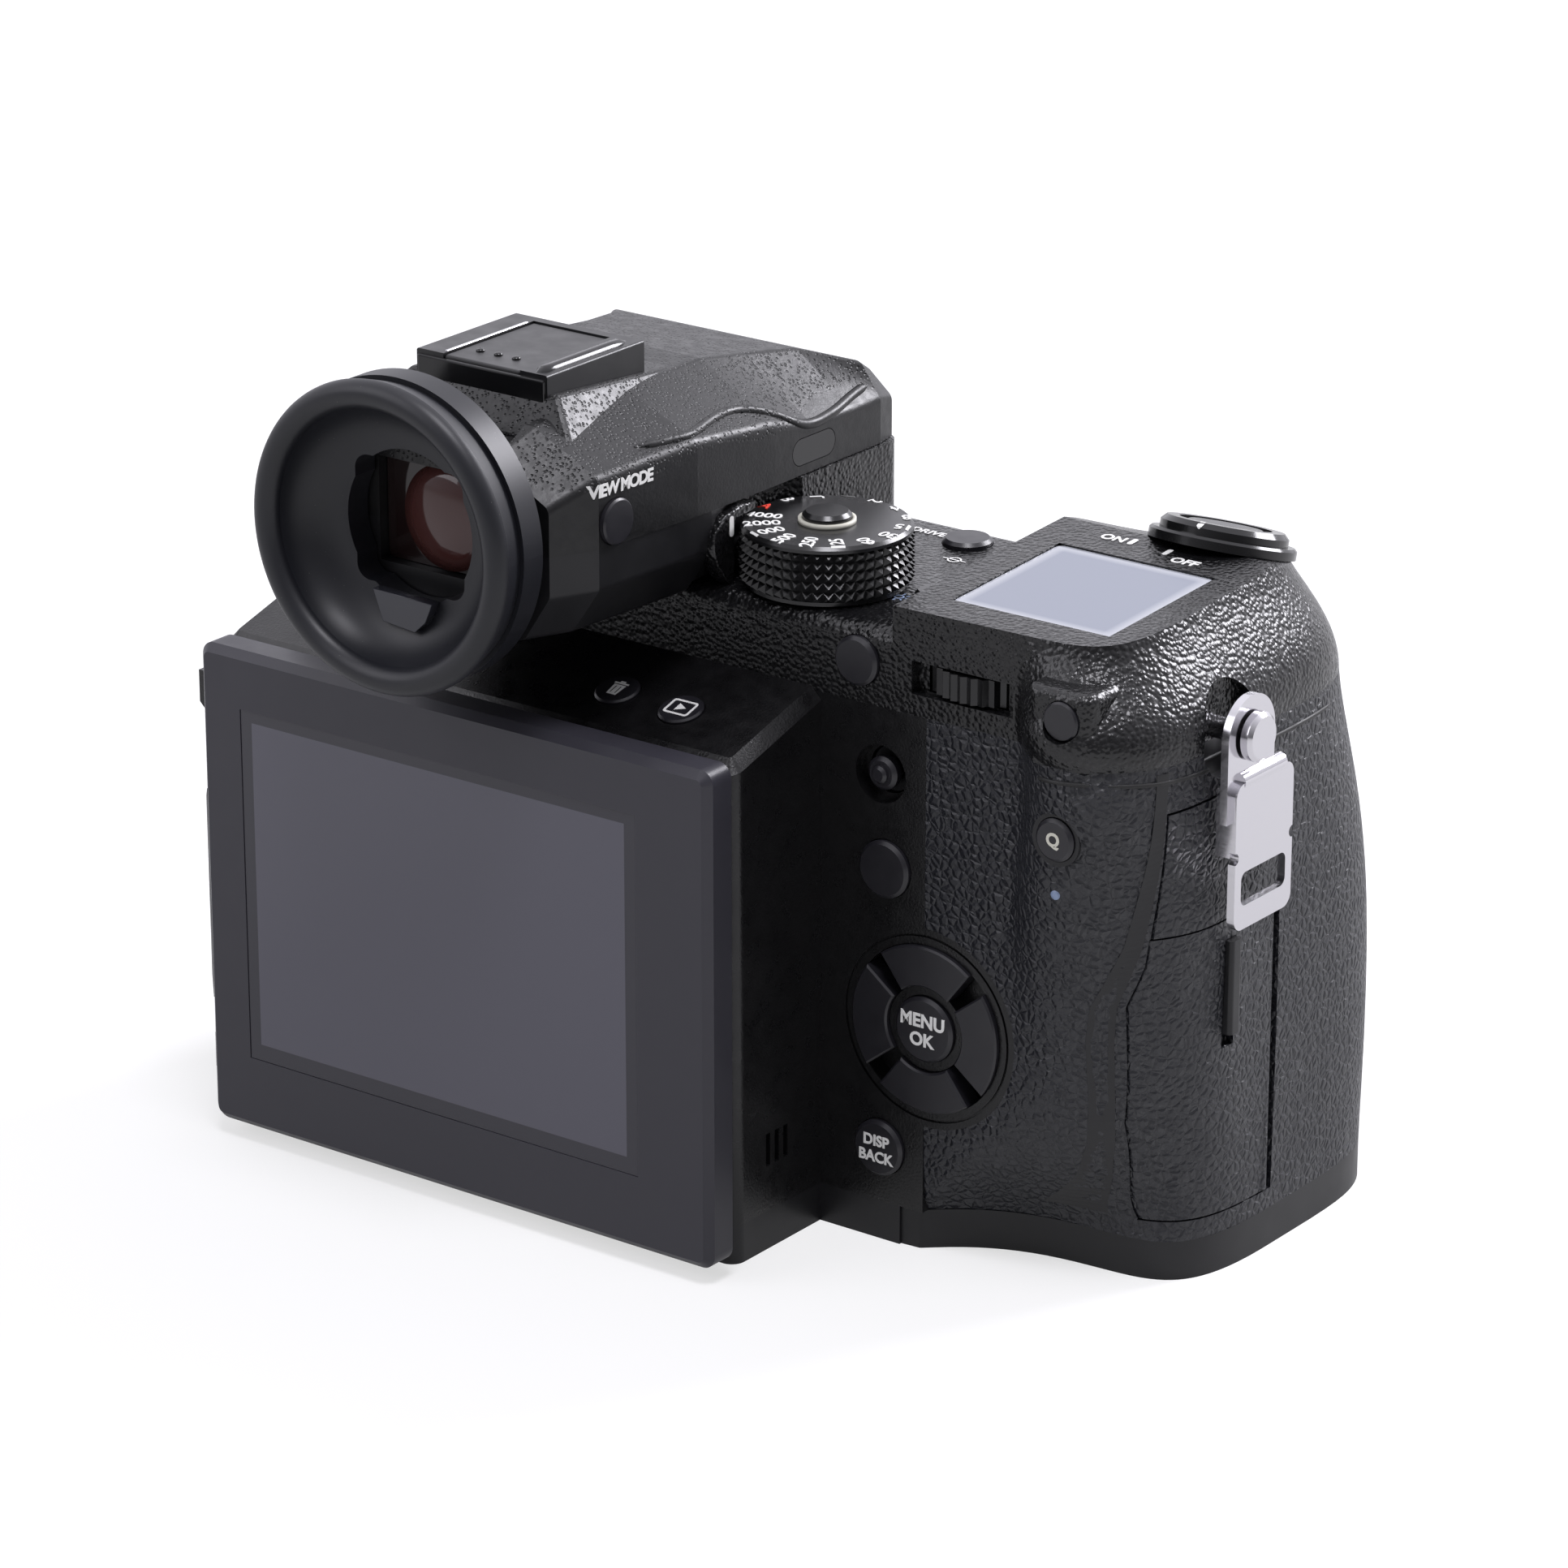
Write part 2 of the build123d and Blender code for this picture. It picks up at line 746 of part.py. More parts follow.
def rear_cover():
    body = slab_volume(leather_edge, base_height, housing_seam)
    body &= block((-far, far), (-far, shell_split), (0, far))
    body += pad_lobe
    body -= board_room()
    body -= socket_door_cut()
    body -= button_well(rear_point(autofocus_place), backward, autofocus_radius, button_sunk)
    body -= button_well(rear_point(back_place), backward, back_radius, button_sunk)
    body -= button_well(rear_point(menu_place), backward, menu_radius, button_sunk)
    well_depth = button_sunk + key_tilt_travel + slide_gap
    body -= tube((menu_place[0], rear_face - overrun, menu_place[1]), forward,
                 key_outer_radius + slide_gap, key_inner_radius - slide_gap, well_depth + overrun)
    groove_ring = tube(rear_point(menu_place), forward, pad_plate_radius,
                       pad_plate_radius - groove, groove)
    body -= groove_ring
    body -= rod(rear_point(stick_place), forward, dish_radius, dish_depth)
    body -= rod(rear_point(stick_place), forward, gimbal_radius + slide_gap * 2,
                dish_depth + gimbal_thickness + 2 * gimbal_room)
    trunnion = (stick_place[0] - gimbal_radius - pin_length, gimbal_y, stick_place[1])
    body -= rod(trunnion, rightward, pin_radius + turn_gap, 2 * (gimbal_radius + pin_length))
    return body


def swing_pin_hole():
    """The bearing of the screen's upright hinge pin, over and under the pocket."""
    return rod((swing_axis_x, swing_axis_y, pocket_bottom - pin_length), upward, pin_radius + turn_gap,
               pocket_top - pocket_bottom + 2 * pin_length)


def base_plate():
    grip_foot = extrude(plan_section(grip_shares[0][1:], 0, grip_root, 0), amount=base_height)
    body = slab_volume(grip_root, 0, base_height) + grip_foot
    body += hump_volume(0) & block((-far, far), (-far, far), (0, base_height))
    body -= swing_pin_hole()
    body -= shutter_room()
    body -= board_room()
    body -= rod((0, 0, 0), upward, bush_radius, bush_depth)
    return body


def tripod_bush():
    return tube((0, 0, 0), upward, bush_radius, socket_radius, socket_depth) + rod(
        (0, 0, socket_depth), upward, bush_radius, bush_depth - socket_depth)


def door_outline(grow):
    """The card door's outline on the side: its rear edge follows the thumb rest."""
    height = door_line_top - door_bottom
    points = [(door_axis[1], door_bottom - overrun), (door_axis[1], door_line_top + grow)]
    for level, reach in reversed(door_edge_shares):
        points.append((reach * door_seam_reach - grow, door_bottom + level * height + grow * (level == 1)))
    points.append((door_edge_shares[0][1] * door_seam_reach - grow, door_bottom - overrun))
    face = make_face(Polyline(*points, close=True))
    return extrude(Plane.YZ * face, amount=far, dir=rightward)


def door_blank(grow):
    """The part of that outline that opens: it ends below the hanging strap clip."""
    return door_outline(grow) & block((door_inner_x, far), (-far, far), (door_bottom - grow, door_top + grow))


def door_line():
    """The shallow line that carries the door's outline on above the door."""
    ribbon = door_outline(groove / 2) - door_outline(-groove / 2)
    return ribbon & block((door_inner_x, far), (-far, door_axis[1]), (door_top, far))


def door_knuckle_rod(grow, extra):
    return rod((*door_axis, door_bottom - extra), upward, door_knuckle + grow,
               door_top - door_bottom + 2 * extra)


def card_door_room():
    """What the card door, its knuckle and its pins leave free in the grip."""
    room = door_blank(seam_gap) & (grip_outer - grip_volume(door_thickness + slide_gap))
    room += door_knuckle_rod(slide_gap, seam_gap)
    room += rod((*door_axis, door_bottom - seam_gap - pin_length), upward, door_pin_radius + turn_gap,
                door_top - door_bottom + 2 * (seam_gap + pin_length))
    swing = block((door_axis[0], far), (door_axis[1], door_axis[1] + door_knuckle + 2 * seam_gap),
                  (door_bottom - seam_gap, door_top + seam_gap))
    return room + swing


def card_bay():
    """The space behind the card door that holds the card slots."""
    return block((bay_x - slots_depth, grip_reach - skin), (bay_rear, bay_front),
                 (bay_bottom, door_top - skin))


def stud_recess():
    return rod((grip_reach - stud_seat_depth, stud_y, stud_z), rightward, stud_recess_radius, overrun)


def grip_region():
    """Where the grip shell stands: right of the rear cover and of the front casting."""
    behind = block((leather_edge, far), (-far, shell_split), (base_height, housing_seam))
    return behind + block((grip_root, far), (shell_split, far), (base_height, housing_seam))


def grip_shell():
    body = grip_inner & grip_region()
    body -= pad_room
    body -= card_door_room()
    body -= card_bay()
    body += rod((quick_place[0], quick_face - bezel_stand, quick_place[1]), forward, quick_bezel_radius,
                bezel_stand + 2 * skin)
    body -= button_well(quick_point, backward, quick_radius, button_sunk + skin)
    body -= stud_recess()
    return body


def leather_covering():
    body = (grip_outer - grip_inner) & grip_region()
    body -= pad_room
    body -= card_door_room()
    body -= rod((quick_place[0], quick_face - overrun, quick_place[1]), forward, quick_bezel_radius,
                2 * overrun)
    body -= stud_recess()
    body -= door_line()
    solids = [piece for piece in body.solids() if piece.volume > skin * 2]
    return Compound(children=[*solids, *front_left_leather().solids()])


def hump_ears():
    """The two ears that carry the battery door's pins, and the latch house over the door."""
    ears = []
    for span in ((battery_door_rear - seam_gap - skin, battery_door_rear - seam_gap),
                 (battery_door_front + seam_gap, battery_door_front + seam_gap + 2 * skin)):
        ear = block((-battery_door_left, -hump_left), span, (foot_top, battery_hinge_z + skin))
        ear -= rod((battery_hinge_x, span[0] - skin, battery_hinge_z), forward,
                   door_pin_radius + turn_gap, overrun)
        ears.append(ear)
    house = block((-latch_house_left, -hump_left), (bulge_rear, bulge_front),
                  (latch_house_bottom, latch_house_top))
    bottom_edge = house.edges().filter_by(Axis.Y).sort_by(Axis.Z)[:2].sort_by(Axis.X)[0]
    house = chamfer(bottom_edge, bulge_bevel)
    return ears[0] + ears[1] + house


def screen_housing():
    body = hump_volume(base_height)
    body -= block((-pocket_left, pocket_right), (hump_face - overrun, pocket_floor),
                  (pocket_bottom, pocket_top))
    body -= swing_pin_hole()
    body -= block(*battery_bay)
    body += hump_ears()
    for place in (delete_place, playback_place):
        body -= button_well(hump_point(place), hump_heading, hump_button_radius, button_sunk)
    for index in range(3):
        slot_y = speaker_y + (index - 1) * speaker_pitch
        body -= block((hump_right - speaker_depth, hump_right + overrun),
                      (slot_y - speaker_slot_width / 2, slot_y + speaker_slot_width / 2),
                      (speaker_height, speaker_height + speaker_slot_length))
    return body


def top_cover():
    deck = slab_volume(plateau_left, housing_seam, deck_height)
    top_edges = deck.edges().filter_by(
        lambda edge: edge.center().Z > deck_height - seam_gap and edge.center().X < plateau_left - seam_gap)
    deck = fillet(top_edges, deck_round)
    pedestal = block((-pedestal_half_width, pedestal_half_width), (pedestal_rear, front_face - seam_gap),
                     (deck_height - skin, finder_seam - slide_gap))
    pedestal = fillet(pedestal.edges().filter_by(Axis.Z), pedestal_corner)
    body = deck + pedestal + shoulder_volume() + thumb_pod()
    body -= shutter_room()
    body -= board_room()
    for x, y, radius in ((dial_x, dial_y, dial_radius), (iso_x, iso_y, iso_radius)):
        body -= rod((x, y, deck_height), upward, radius + 3 * wheel_gap, far)
        body -= rod((x, y, dial_base - dial_axle_length - 2 * slide_gap - wheel_gap), upward,
                    dial_axle_radius + turn_gap, overrun)
    body -= rail(slide_gap)
    body -= button_well(rear_point(exposure_lock_place), backward, exposure_lock_radius, button_sunk)
    body -= button_well(thumb_point, backward, thumb_radius, button_sunk)
    body -= button_well((*drive_place, deck_height), upward, top_button_radius, button_sunk)
    body -= button_well((*lamp_place, deck_height), upward, lamp_radius, button_sunk)
    pocket = Box(display_size, display_size, display_thickness + display_sunk + overrun, align=standing)
    body -= display_plane * (Pos(0, 0, -display_thickness - display_sunk) * pocket)
    body -= block((rear_dial_x - rear_slot_width / 2, rear_dial_x + rear_slot_width / 2),
                  (rear_face - overrun, rear_face + rear_slot_depth),
                  (rear_dial_z - rear_slot_height / 2, rear_dial_z + rear_slot_height / 2))
    body -= wheel_room(rear_dial_centre, rear_dial_radius, rear_dial_width)
    body -= wheel_room(front_dial_centre, front_dial_radius, front_dial_width)
    body += shutter_plane * Cylinder(collar_radius, power_ring_height - groove, align=standing)
    well = shutter_button_height + shutter_travel + slide_gap
    body -= shutter_plane * (Pos(0, 0, power_ring_height - groove - well) * Cylinder(
        shutter_button_radius + slide_gap, far, align=standing))
    body -= stud_recess()
    for root, head, stud_height in stud_rows:
        body -= rod((min(root, head), stud_y, stud_height), rightward, stud_shaft_radius, abs(head - root))
    return body


def wheel_room(centre, radius, width):
    """The round cavity and the two bearing holes of a command dial."""
    x, y, z = centre
    half = width / 2 + wheel_gap
    room = rod((x, y, z - half), upward, radius + wheel_gap, 2 * half)
    reach = half + command_axle_length
    return room + rod((x, y, z - reach), upward, command_axle_radius + turn_gap, 2 * reach)


def command_dial(centre, radius, width):
    x, y, z = centre
    wheel = toothed_disc(radius, command_tooth_depth, command_teeth, width)
    wheel = Pos(x, y, z - width / 2) * wheel
    reach = width / 2 + wheel_gap + command_axle_length - slide_gap
    return wheel + rod((x, y, z - reach), upward, command_axle_radius, 2 * reach)


def rail(grow):
    """The T shaped rail under the viewfinder, or its channel when grown by a clearance."""
    neck = block((-rail_half_width - grow, rail_half_width + grow),
                 (rail_start - overrun * (grow > 0), rail_start + rail_length + grow),
                 (finder_seam - rail_height - grow, finder_seam + grow))
    lip = block((-rail_lip_half_width - grow, rail_lip_half_width + grow),
                (rail_start - overrun * (grow > 0), rail_start + rail_length + grow),
                (finder_seam - rail_height - rail_lip - grow, finder_seam - rail_height + grow))
    return neck + lip


def turning_dial(x, y, radius, top, knurl):
    """A top dial: knurled band, plain rim and foot, and the bearing spigot under it."""
    height = top - dial_base
    band = height - dial_rim - dial_foot
    rim = rod((0, 0, height - dial_rim), upward, radius - dial_rim_inset, dial_rim)
    rim = chamfer(rim.faces().sort_by(Axis.Z)[-1].edges(), dial_rim / 2)
    disc = rod((0, 0, 0), upward, radius - tooth_depth, height - dial_rim) + rim
    disc += Pos(0, 0, dial_foot) * knurl(radius, band)
    disc += rod((0, 0, -dial_axle_length), upward, dial_axle_radius, dial_axle_length + dial_foot)
    disc -= rod((0, 0, height - lock_stand), upward, lock_radius + slide_gap, far)
    return Pos(x, y, dial_base) * disc


def pyramid_knurl(radius, band):
    """Rows of small pyramids: a toothed disc cut back by a zigzag that is turned round it."""
    teeth = toothed_disc(radius, tooth_depth, dial_teeth, band)
    row = band / dial_rows
    points = [(0, 0)]
    for index in range(dial_rows):
        points.append((radius - tooth_depth, index * row))
        points.append((radius, (index + 0.5) * row))
    points += [(radius - tooth_depth, band), (0, band)]
    zigzag = revolve(Plane.XZ * make_face(Polyline(*points, close=True)), Axis.Z)
    return teeth & zigzag


def rib_knurl(radius, band):
    return toothed_disc(radius, iso_tooth_depth, iso_teeth, band)


def dial_lock(x, y, top):
    return push_button((x, y, top), upward, lock_radius, lock_stand - small_stand,
                       lock_stand - button_travel - slide_gap)


def arc_key(turn):
    """One of the four curved keys round the menu button."""
    ring = tube((0, 0, 0), upward, key_outer_radius, key_inner_radius, button_sunk + key_stand)
    half = math.radians(45 - key_gap_angle / 2)
    reach = 2 * key_outer_radius
    wedge = make_face(Polyline(
        (0, 0), (reach * math.cos(half), -reach * math.sin(half)),
        (reach * math.cos(half), reach * math.sin(half)), close=True))
    key = ring & extrude(wedge, amount=far)
    key = chamfer(key.faces().sort_by(Axis.Z)[-1].edges(), button_round / 2)
    plane = Plane(origin=(menu_place[0], rear_face + button_sunk, menu_place[1]),
                  x_dir=rightward, z_dir=backward)
    return plane * (Rot(0, 0, turn) * key)


def focus_gimbal():
    centre = (stick_place[0], gimbal_y, stick_place[1])
    start = (centre[0], centre[1] - gimbal_thickness / 2, centre[2])
    ring = tube(start, forward, gimbal_radius, gimbal_bore, gimbal_thickness)
    for side in (-1, 1):
        begin = (centre[0] + side * (gimbal_radius - pin_radius), centre[1], centre[2])
        ring += rod(begin, (side, 0, 0), pin_radius, pin_length + pin_radius - slide_gap)
    bottom = (centre[0], centre[1], centre[2] - gimbal_radius - pin_length)
    ring -= rod(bottom, upward, stick_pin_radius + turn_gap, 2 * (gimbal_radius + pin_length))
    return ring


def focus_stick():
    centre = (stick_place[0], gimbal_y, stick_place[1])
    start = (centre[0], centre[1] + gimbal_thickness / 2, centre[2])
    hub = rod(start, backward, stick_hub_radius, gimbal_thickness)
    shaft = rod(start, backward, stick_shaft_radius, start[1] - rear_face + slide_gap)
    cap_start = (centre[0], rear_face + stick_cap_height, centre[2])
    cap = push_button(cap_start, backward, stick_cap_radius, stick_cap_height, 0)
    nub = push_button((centre[0], rear_face, centre[2]), backward, stick_ball_radius,
                      stick_cap_height / 2, small_stand)
    low = (centre[0], centre[1], centre[2] - stick_pin_reach)
    return hub + shaft + cap + nub + rod(low, upward, stick_pin_radius, 2 * stick_pin_reach)


def power_lever():
    ring = Cylinder(power_ring_radius, power_tier_height, align=standing)
    ring = chamfer(ring.faces().sort_by(Axis.Z)[-1].edges(), groove)
    tier = Cylinder(power_tier_radius, power_ring_height, align=standing)
    ring += chamfer(tier.faces().sort_by(Axis.Z)[-1].edges(), 2 * groove)
    tab = Pos(0, power_ring_radius, 0) * Box(power_tab_width, 2 * (power_tab_reach - power_ring_radius),
                                             power_tier_height, align=standing)
    tab = fillet(tab.edges().filter_by(Axis.Z), power_tab_width / 4)
    ring = ring + tab - Cylinder(power_ring_bore, far, align=middle)
    return shutter_plane * (Pos(0, 0, slide_gap) * ring)


def shutter_button():
    cap = Cylinder(shutter_button_radius, shutter_button_height, align=standing)
    cap = fillet(cap.faces().sort_by(Axis.Z)[-1].edges(), button_round)
    dish = Pos(0, 0, shutter_button_height + dish_sphere - shutter_dish) * Sphere(dish_sphere)
    return shutter_plane * (Pos(0, 0, power_ring_height - shutter_button_height) * (cap - dish))


def top_display():
    plate = extrude(RectangleRounded(display_size - slide_gap, display_size - slide_gap, display_corner),
                    amount=display_thickness)
    return display_plane * (Pos(0, 0, -display_thickness - display_sunk) * plate)


def lens_mount_ring():
    flange = tube(lens_point(front_face), forward, ring_outer_radius, throat_radius, ring_stand)
    flange = chamfer(flange.faces().sort_by(Axis.Y)[-1].edges().sort_by(
        lambda edge: edge.length)[-1], groove)
    undercut = bayonet_thickness + bayonet_play
    ring = flange + tube(lens_point(front_face - ring_sunk + undercut), forward, ring_spigot_radius,
                         throat_radius, ring_sunk - undercut)
    ring += tube(lens_point(front_face - ring_sunk), forward, ring_spigot_radius, undercut_radius, undercut)
    for index in range(bayonet_count):
        wedge = make_face(Polyline(
            (0, 0), (far, far * math.tan(math.radians(-bayonet_angle / 2))),
            (far, far * math.tan(math.radians(bayonet_angle / 2))), close=True))
        lug = tube((0, 0, 0), upward, undercut_radius + groove, bayonet_radius, bayonet_thickness)
        lug = lug & extrude(wedge, amount=far)
        plane = Plane(origin=lens_point(front_face - ring_sunk), x_dir=upward, z_dir=forward)
        ring += plane * (Rot(0, 0, index * 360 / bayonet_count) * lug)
    return ring


def lens_contacts():
    """The contact block under the throat, with its row of pins on an arc."""
    wedge = make_face(Polyline(
        (0, 0), (-far * math.tan(math.radians(contact_arc / 2)), -far),
        (far * math.tan(math.radians(contact_arc / 2)), -far), close=True))
    block_ring = tube((0, 0, 0), upward, contact_block_outer, contact_block_inner, contact_block_depth)
    body = block_ring & extrude(wedge, amount=far)
    middle_radius = (contact_block_inner + contact_block_outer) / 2
    for index in range(contact_count):
        angle = math.radians(-90 + contact_arc * 0.9 * ((index + 0.5) / contact_count - 0.5))
        start = (middle_radius * math.cos(angle), middle_radius * math.sin(angle), 0)
        body += rod(start, upward, contact_radius, contact_block_depth + contact_stand)
    plane = Plane(origin=lens_point(chamber_rear + ring_sunk), x_dir=leftward, z_dir=forward)
    return plane * body


def shutter_unit():
    rear = chamber_rear - slide_gap - shutter_thickness
    frame = block((-shutter_width / 2, shutter_width / 2), (rear, rear + shutter_thickness),
                  (lens_axis_height - shutter_height / 2, lens_axis_height + shutter_height / 2))
    frame -= block((-shutter_window_width / 2, shutter_window_width / 2), (rear, rear + shutter_thickness),
                   (lens_axis_height - shutter_window_height / 2,
                    lens_axis_height + shutter_window_height / 2))
    for index in range(blade_count):
        low = lens_axis_height - shutter_window_height / 2
        depth = rear + shutter_thickness / 2 + index * 2 * blade_thickness
        blade = block((-shutter_window_width / 2, shutter_window_width / 2), (depth, depth + blade_thickness),
                      (low, low + blade_height * (blade_count - index) / blade_count))
        frame += blade
    return frame


def image_sensor():
    glass_x = sensor_width / 2 + sensor_glass_margin
    glass_z = sensor_height / 2 + sensor_glass_margin
    chip = block((-glass_x, glass_x), (sensor_y, sensor_y + sensor_glass_thickness),
                 (lens_axis_height - glass_z, lens_axis_height + glass_z))
    carrier = block((-carrier_width / 2, carrier_width / 2), (sensor_y - carrier_thickness, sensor_y),
                    (lens_axis_height - carrier_height / 2, lens_axis_height + carrier_height / 2))
    shutter_rear = chamber_rear - slide_gap - shutter_thickness
    body = chip + carrier
    for side in (-1, 1):
        for level in (-1, 1):
            start = (side * (carrier_width / 2 - 2 * carrier_thickness), sensor_y - carrier_thickness,
                     lens_axis_height + level * (carrier_height / 2 - 1.5 * carrier_thickness))
            body += rod(start, forward, carrier_thickness * 0.8,
                        shutter_rear - sensor_y + carrier_thickness)
    return body


def main_board():
    body = block((-board_left, board_right), (board_y - board_thickness, board_y),
                 (lens_axis_height - board_height / 2, lens_axis_height + board_height / 2))
    board_middle = (board_right - board_left) / 2
    for column in (-1, 0, 1):
        for row in (-1, 1):
            x = board_middle + column * (board_right + board_left) / 4
            z = lens_axis_height + row * board_height / 4
            body += block((x - chip_size / 2, x + chip_size / 2),
                          (board_y - board_thickness - chip_thickness, board_y - board_thickness),
                          (z - chip_size / 2, z + chip_size / 2))
    return body


def battery():
    x_span, y_span, z_span = battery_bay
    body = block((-hump_left + slide_gap, x_span[1] - slide_gap),
                 (y_span[0] + slide_gap, y_span[1] - slide_gap),
                 (z_span[0] + slide_gap, z_span[1] - slide_gap))
    body = chamfer(body.edges().filter_by(Axis.X), skin)
    tab = block((-hump_left, -hump_left + skin), (y_span[0] + 2 * skin, y_span[1] - 2 * skin),
                (z_span[1] - battery_height / 4, z_span[1] - battery_height / 5))
    return body - tab


def card_slots():
    body = block((bay_x - slots_depth + slide_gap, bay_x + slide_gap),
                 (bay_rear + slide_gap, bay_front - slide_gap),
                 (bay_bottom + slide_gap, door_top - skin - slide_gap))
    for shift in (-1, 1):
        y = (bay_rear + bay_front) / 2 + shift * card_thickness
        z = (bay_bottom + door_top - skin) / 2
        body -= block((bay_x - card_slot_depth, bay_x + overrun),
                      (y - card_thickness / 2, y + card_thickness / 2),
                      (z - card_width / 2, z + card_width / 2))
    return body


def connector_panel():
    outer = -left_reach + socket_door_thickness + socket_bay_depth
    body = block((outer, outer + socket_panel_thickness - slide_gap),
                 (socket_door_rear + skin + slide_gap, socket_axis[1] - 2 * socket_door_knuckle - slide_gap),
                 (socket_door_bottom + skin + slide_gap, socket_door_top - skin - slide_gap))
    centre_y = (socket_door_rear + socket_axis[1]) / 2
    for index in range(socket_count):
        z = (socket_door_bottom + socket_door_top) / 2 + (index - (socket_count - 1) / 2) * socket_pitch
        body -= block((outer - overrun, outer + socket_cut),
                      (centre_y - socket_width / 2, centre_y + socket_width / 2),
                      (z - socket_height / 2, z + socket_height / 2))
    return body


def connector_door():
    body = block((-left_reach, -left_reach + socket_door_thickness - slide_gap),
                 (socket_door_rear, socket_axis[1]), (socket_door_bottom, socket_door_top))
    body += rod((*socket_axis, socket_door_bottom), upward, socket_door_knuckle,
                socket_door_top - socket_door_bottom)
    pull = block((-left_reach - skin / 2, -left_reach), (socket_door_rear, socket_door_rear + 3 * skin),
                 ((socket_door_bottom + socket_door_top) / 2 - 4 * skin,
                  (socket_door_bottom + socket_door_top) / 2 + 4 * skin))
    body += pull
    body += rod((*socket_axis, socket_door_bottom - pin_length), upward, pin_radius,
                socket_door_top - socket_door_bottom + 2 * pin_length)
    return body


def card_door():
    body = door_blank(0) & (grip_outer - grip_volume(door_thickness))
    body += door_knuckle_rod(0, 0)
    body += rod((*door_axis, door_bottom - pin_length), upward, door_pin_radius,
                door_top - door_bottom + 2 * pin_length)
    seat = block((grip_reach - latch_sunk, far), (latch_y - latch_width / 2 - slide_gap,
                                                  latch_y + latch_width / 2 + slide_gap),
                 (latch_z - latch_length / 2 - slide_gap - latch_travel,
                  latch_z + latch_length / 2 + slide_gap))
    return body - seat


def card_latch():
    body = block((grip_reach - latch_sunk + slide_gap, grip_reach + latch_stand),
                 (latch_y - latch_width / 2, latch_y + latch_width / 2),
                 (latch_z - latch_length / 2, latch_z + latch_length / 2))
    outer = body.edges().filter_by(Axis.Z).sort_by(Axis.X)[-2:]
    return fillet(outer, latch_width / 4)


def battery_door():
    body = block((-battery_door_left, -battery_door_seat), (battery_door_rear, battery_door_front),
                 (battery_hinge_z, battery_door_top))
    bulge = block((-battery_bulge_left, -battery_door_left), (bulge_rear, bulge_front),
                  (bulge_bottom, bulge_top))
    outer = bulge.faces().sort_by(Axis.X)[0].edges()
    bulge = chamfer(outer, bulge_bevel * 0.6)
    body += bulge
    body += rod((battery_hinge_x, battery_door_rear, battery_hinge_z), forward, door_pin_radius + skin,
                battery_door_front - battery_door_rear)
    body += rod((battery_hinge_x, battery_door_rear - skin, battery_hinge_z), forward, door_pin_radius,
                battery_door_front - battery_door_rear + 2 * skin)
    return body


def strap_studs():
    studs = []
    for root, head, height in stud_rows:
        outward = 1 if head > root else -1
        shaft = rod((root, stud_y, height), (outward, 0, 0), stud_shaft_radius, abs(head - root))
        cap = rod((head, stud_y, height), (outward, 0, 0), stud_head_radius, stud_head_thickness)
        cap = chamfer(cap.faces().sort_by(Axis.X)[-1 if outward > 0 else 0].edges(),
                      stud_head_thickness / 3)
        studs.append(shaft + cap)
    return Compound(children=studs)


def strap_clip(head, height, outward):
    """Half plan of a clip that hangs on a stud: an eye plate, a fold and a slotted front plate."""
    eye = Circle(clip_eye_radius) + Pos(0, -clip_eye_radius) * Rectangle(
        2 * clip_eye_radius, 2 * clip_eye_radius)
    eye -= Circle(stud_shaft_radius + turn_gap)
    front_height = clip_bottom_drop - clip_top_drop
    front = Pos(clip_shift, -clip_top_drop - front_height / 2) * RectangleRounded(
        clip_width, front_height, clip_corner)
    slot_level = -clip_bottom_drop + clip_slot_margin + clip_slot_height / 2
    front -= Pos(clip_shift, slot_level) * RectangleRounded(clip_slot_width, clip_slot_height, skin)
    for side in (-1, 1):
        notch = (clip_shift + side * clip_width / 2, slot_level + clip_slot_height)
        front -= Pos(*notch) * Circle(clip_notch_radius)
    fold_height = front_height - clip_slot_height - 2 * clip_slot_margin
    fold = Pos(clip_shift, -clip_top_drop - fold_height / 2 - clip_corner / 2) * Rectangle(
        clip_width, fold_height)
    hollow = Pos(clip_shift, -clip_top_drop - fold_height / 2 - clip_corner / 2) * Rectangle(
        clip_width - 2 * clip_plate, fold_height)
    eye_plate = extrude(eye, amount=clip_plate)
    front_plate = Pos(0, 0, clip_plate - seam_gap) * extrude(front, amount=clip_plate)
    back = Pos(0, 0, -clip_plate) * extrude(fold - hollow, amount=2 * clip_plate)
    roll = Pos(clip_shift, -clip_top_drop, clip_plate - seam_gap) * Rot(0, 90, 0) * Cylinder(
        clip_roll_radius, clip_width - 2 * clip_corner)
    body = eye_plate + front_plate + back + roll
    inner = head - outward * (clip_gap + clip_plate)
    plane = Plane(origin=(inner, stud_y, height), x_dir=(0, outward, 0), z_dir=(outward, 0, 0))
    if outward < 0:
        plane = Plane(origin=(inner, stud_y, height), x_dir=(0, -1, 0), z_dir=(-1, 0, 0))
    return plane * body


def round_screen_corners(shape):
    verticals = shape.edges().filter_by(Axis.Y)
    return fillet(verticals, panel_corner)


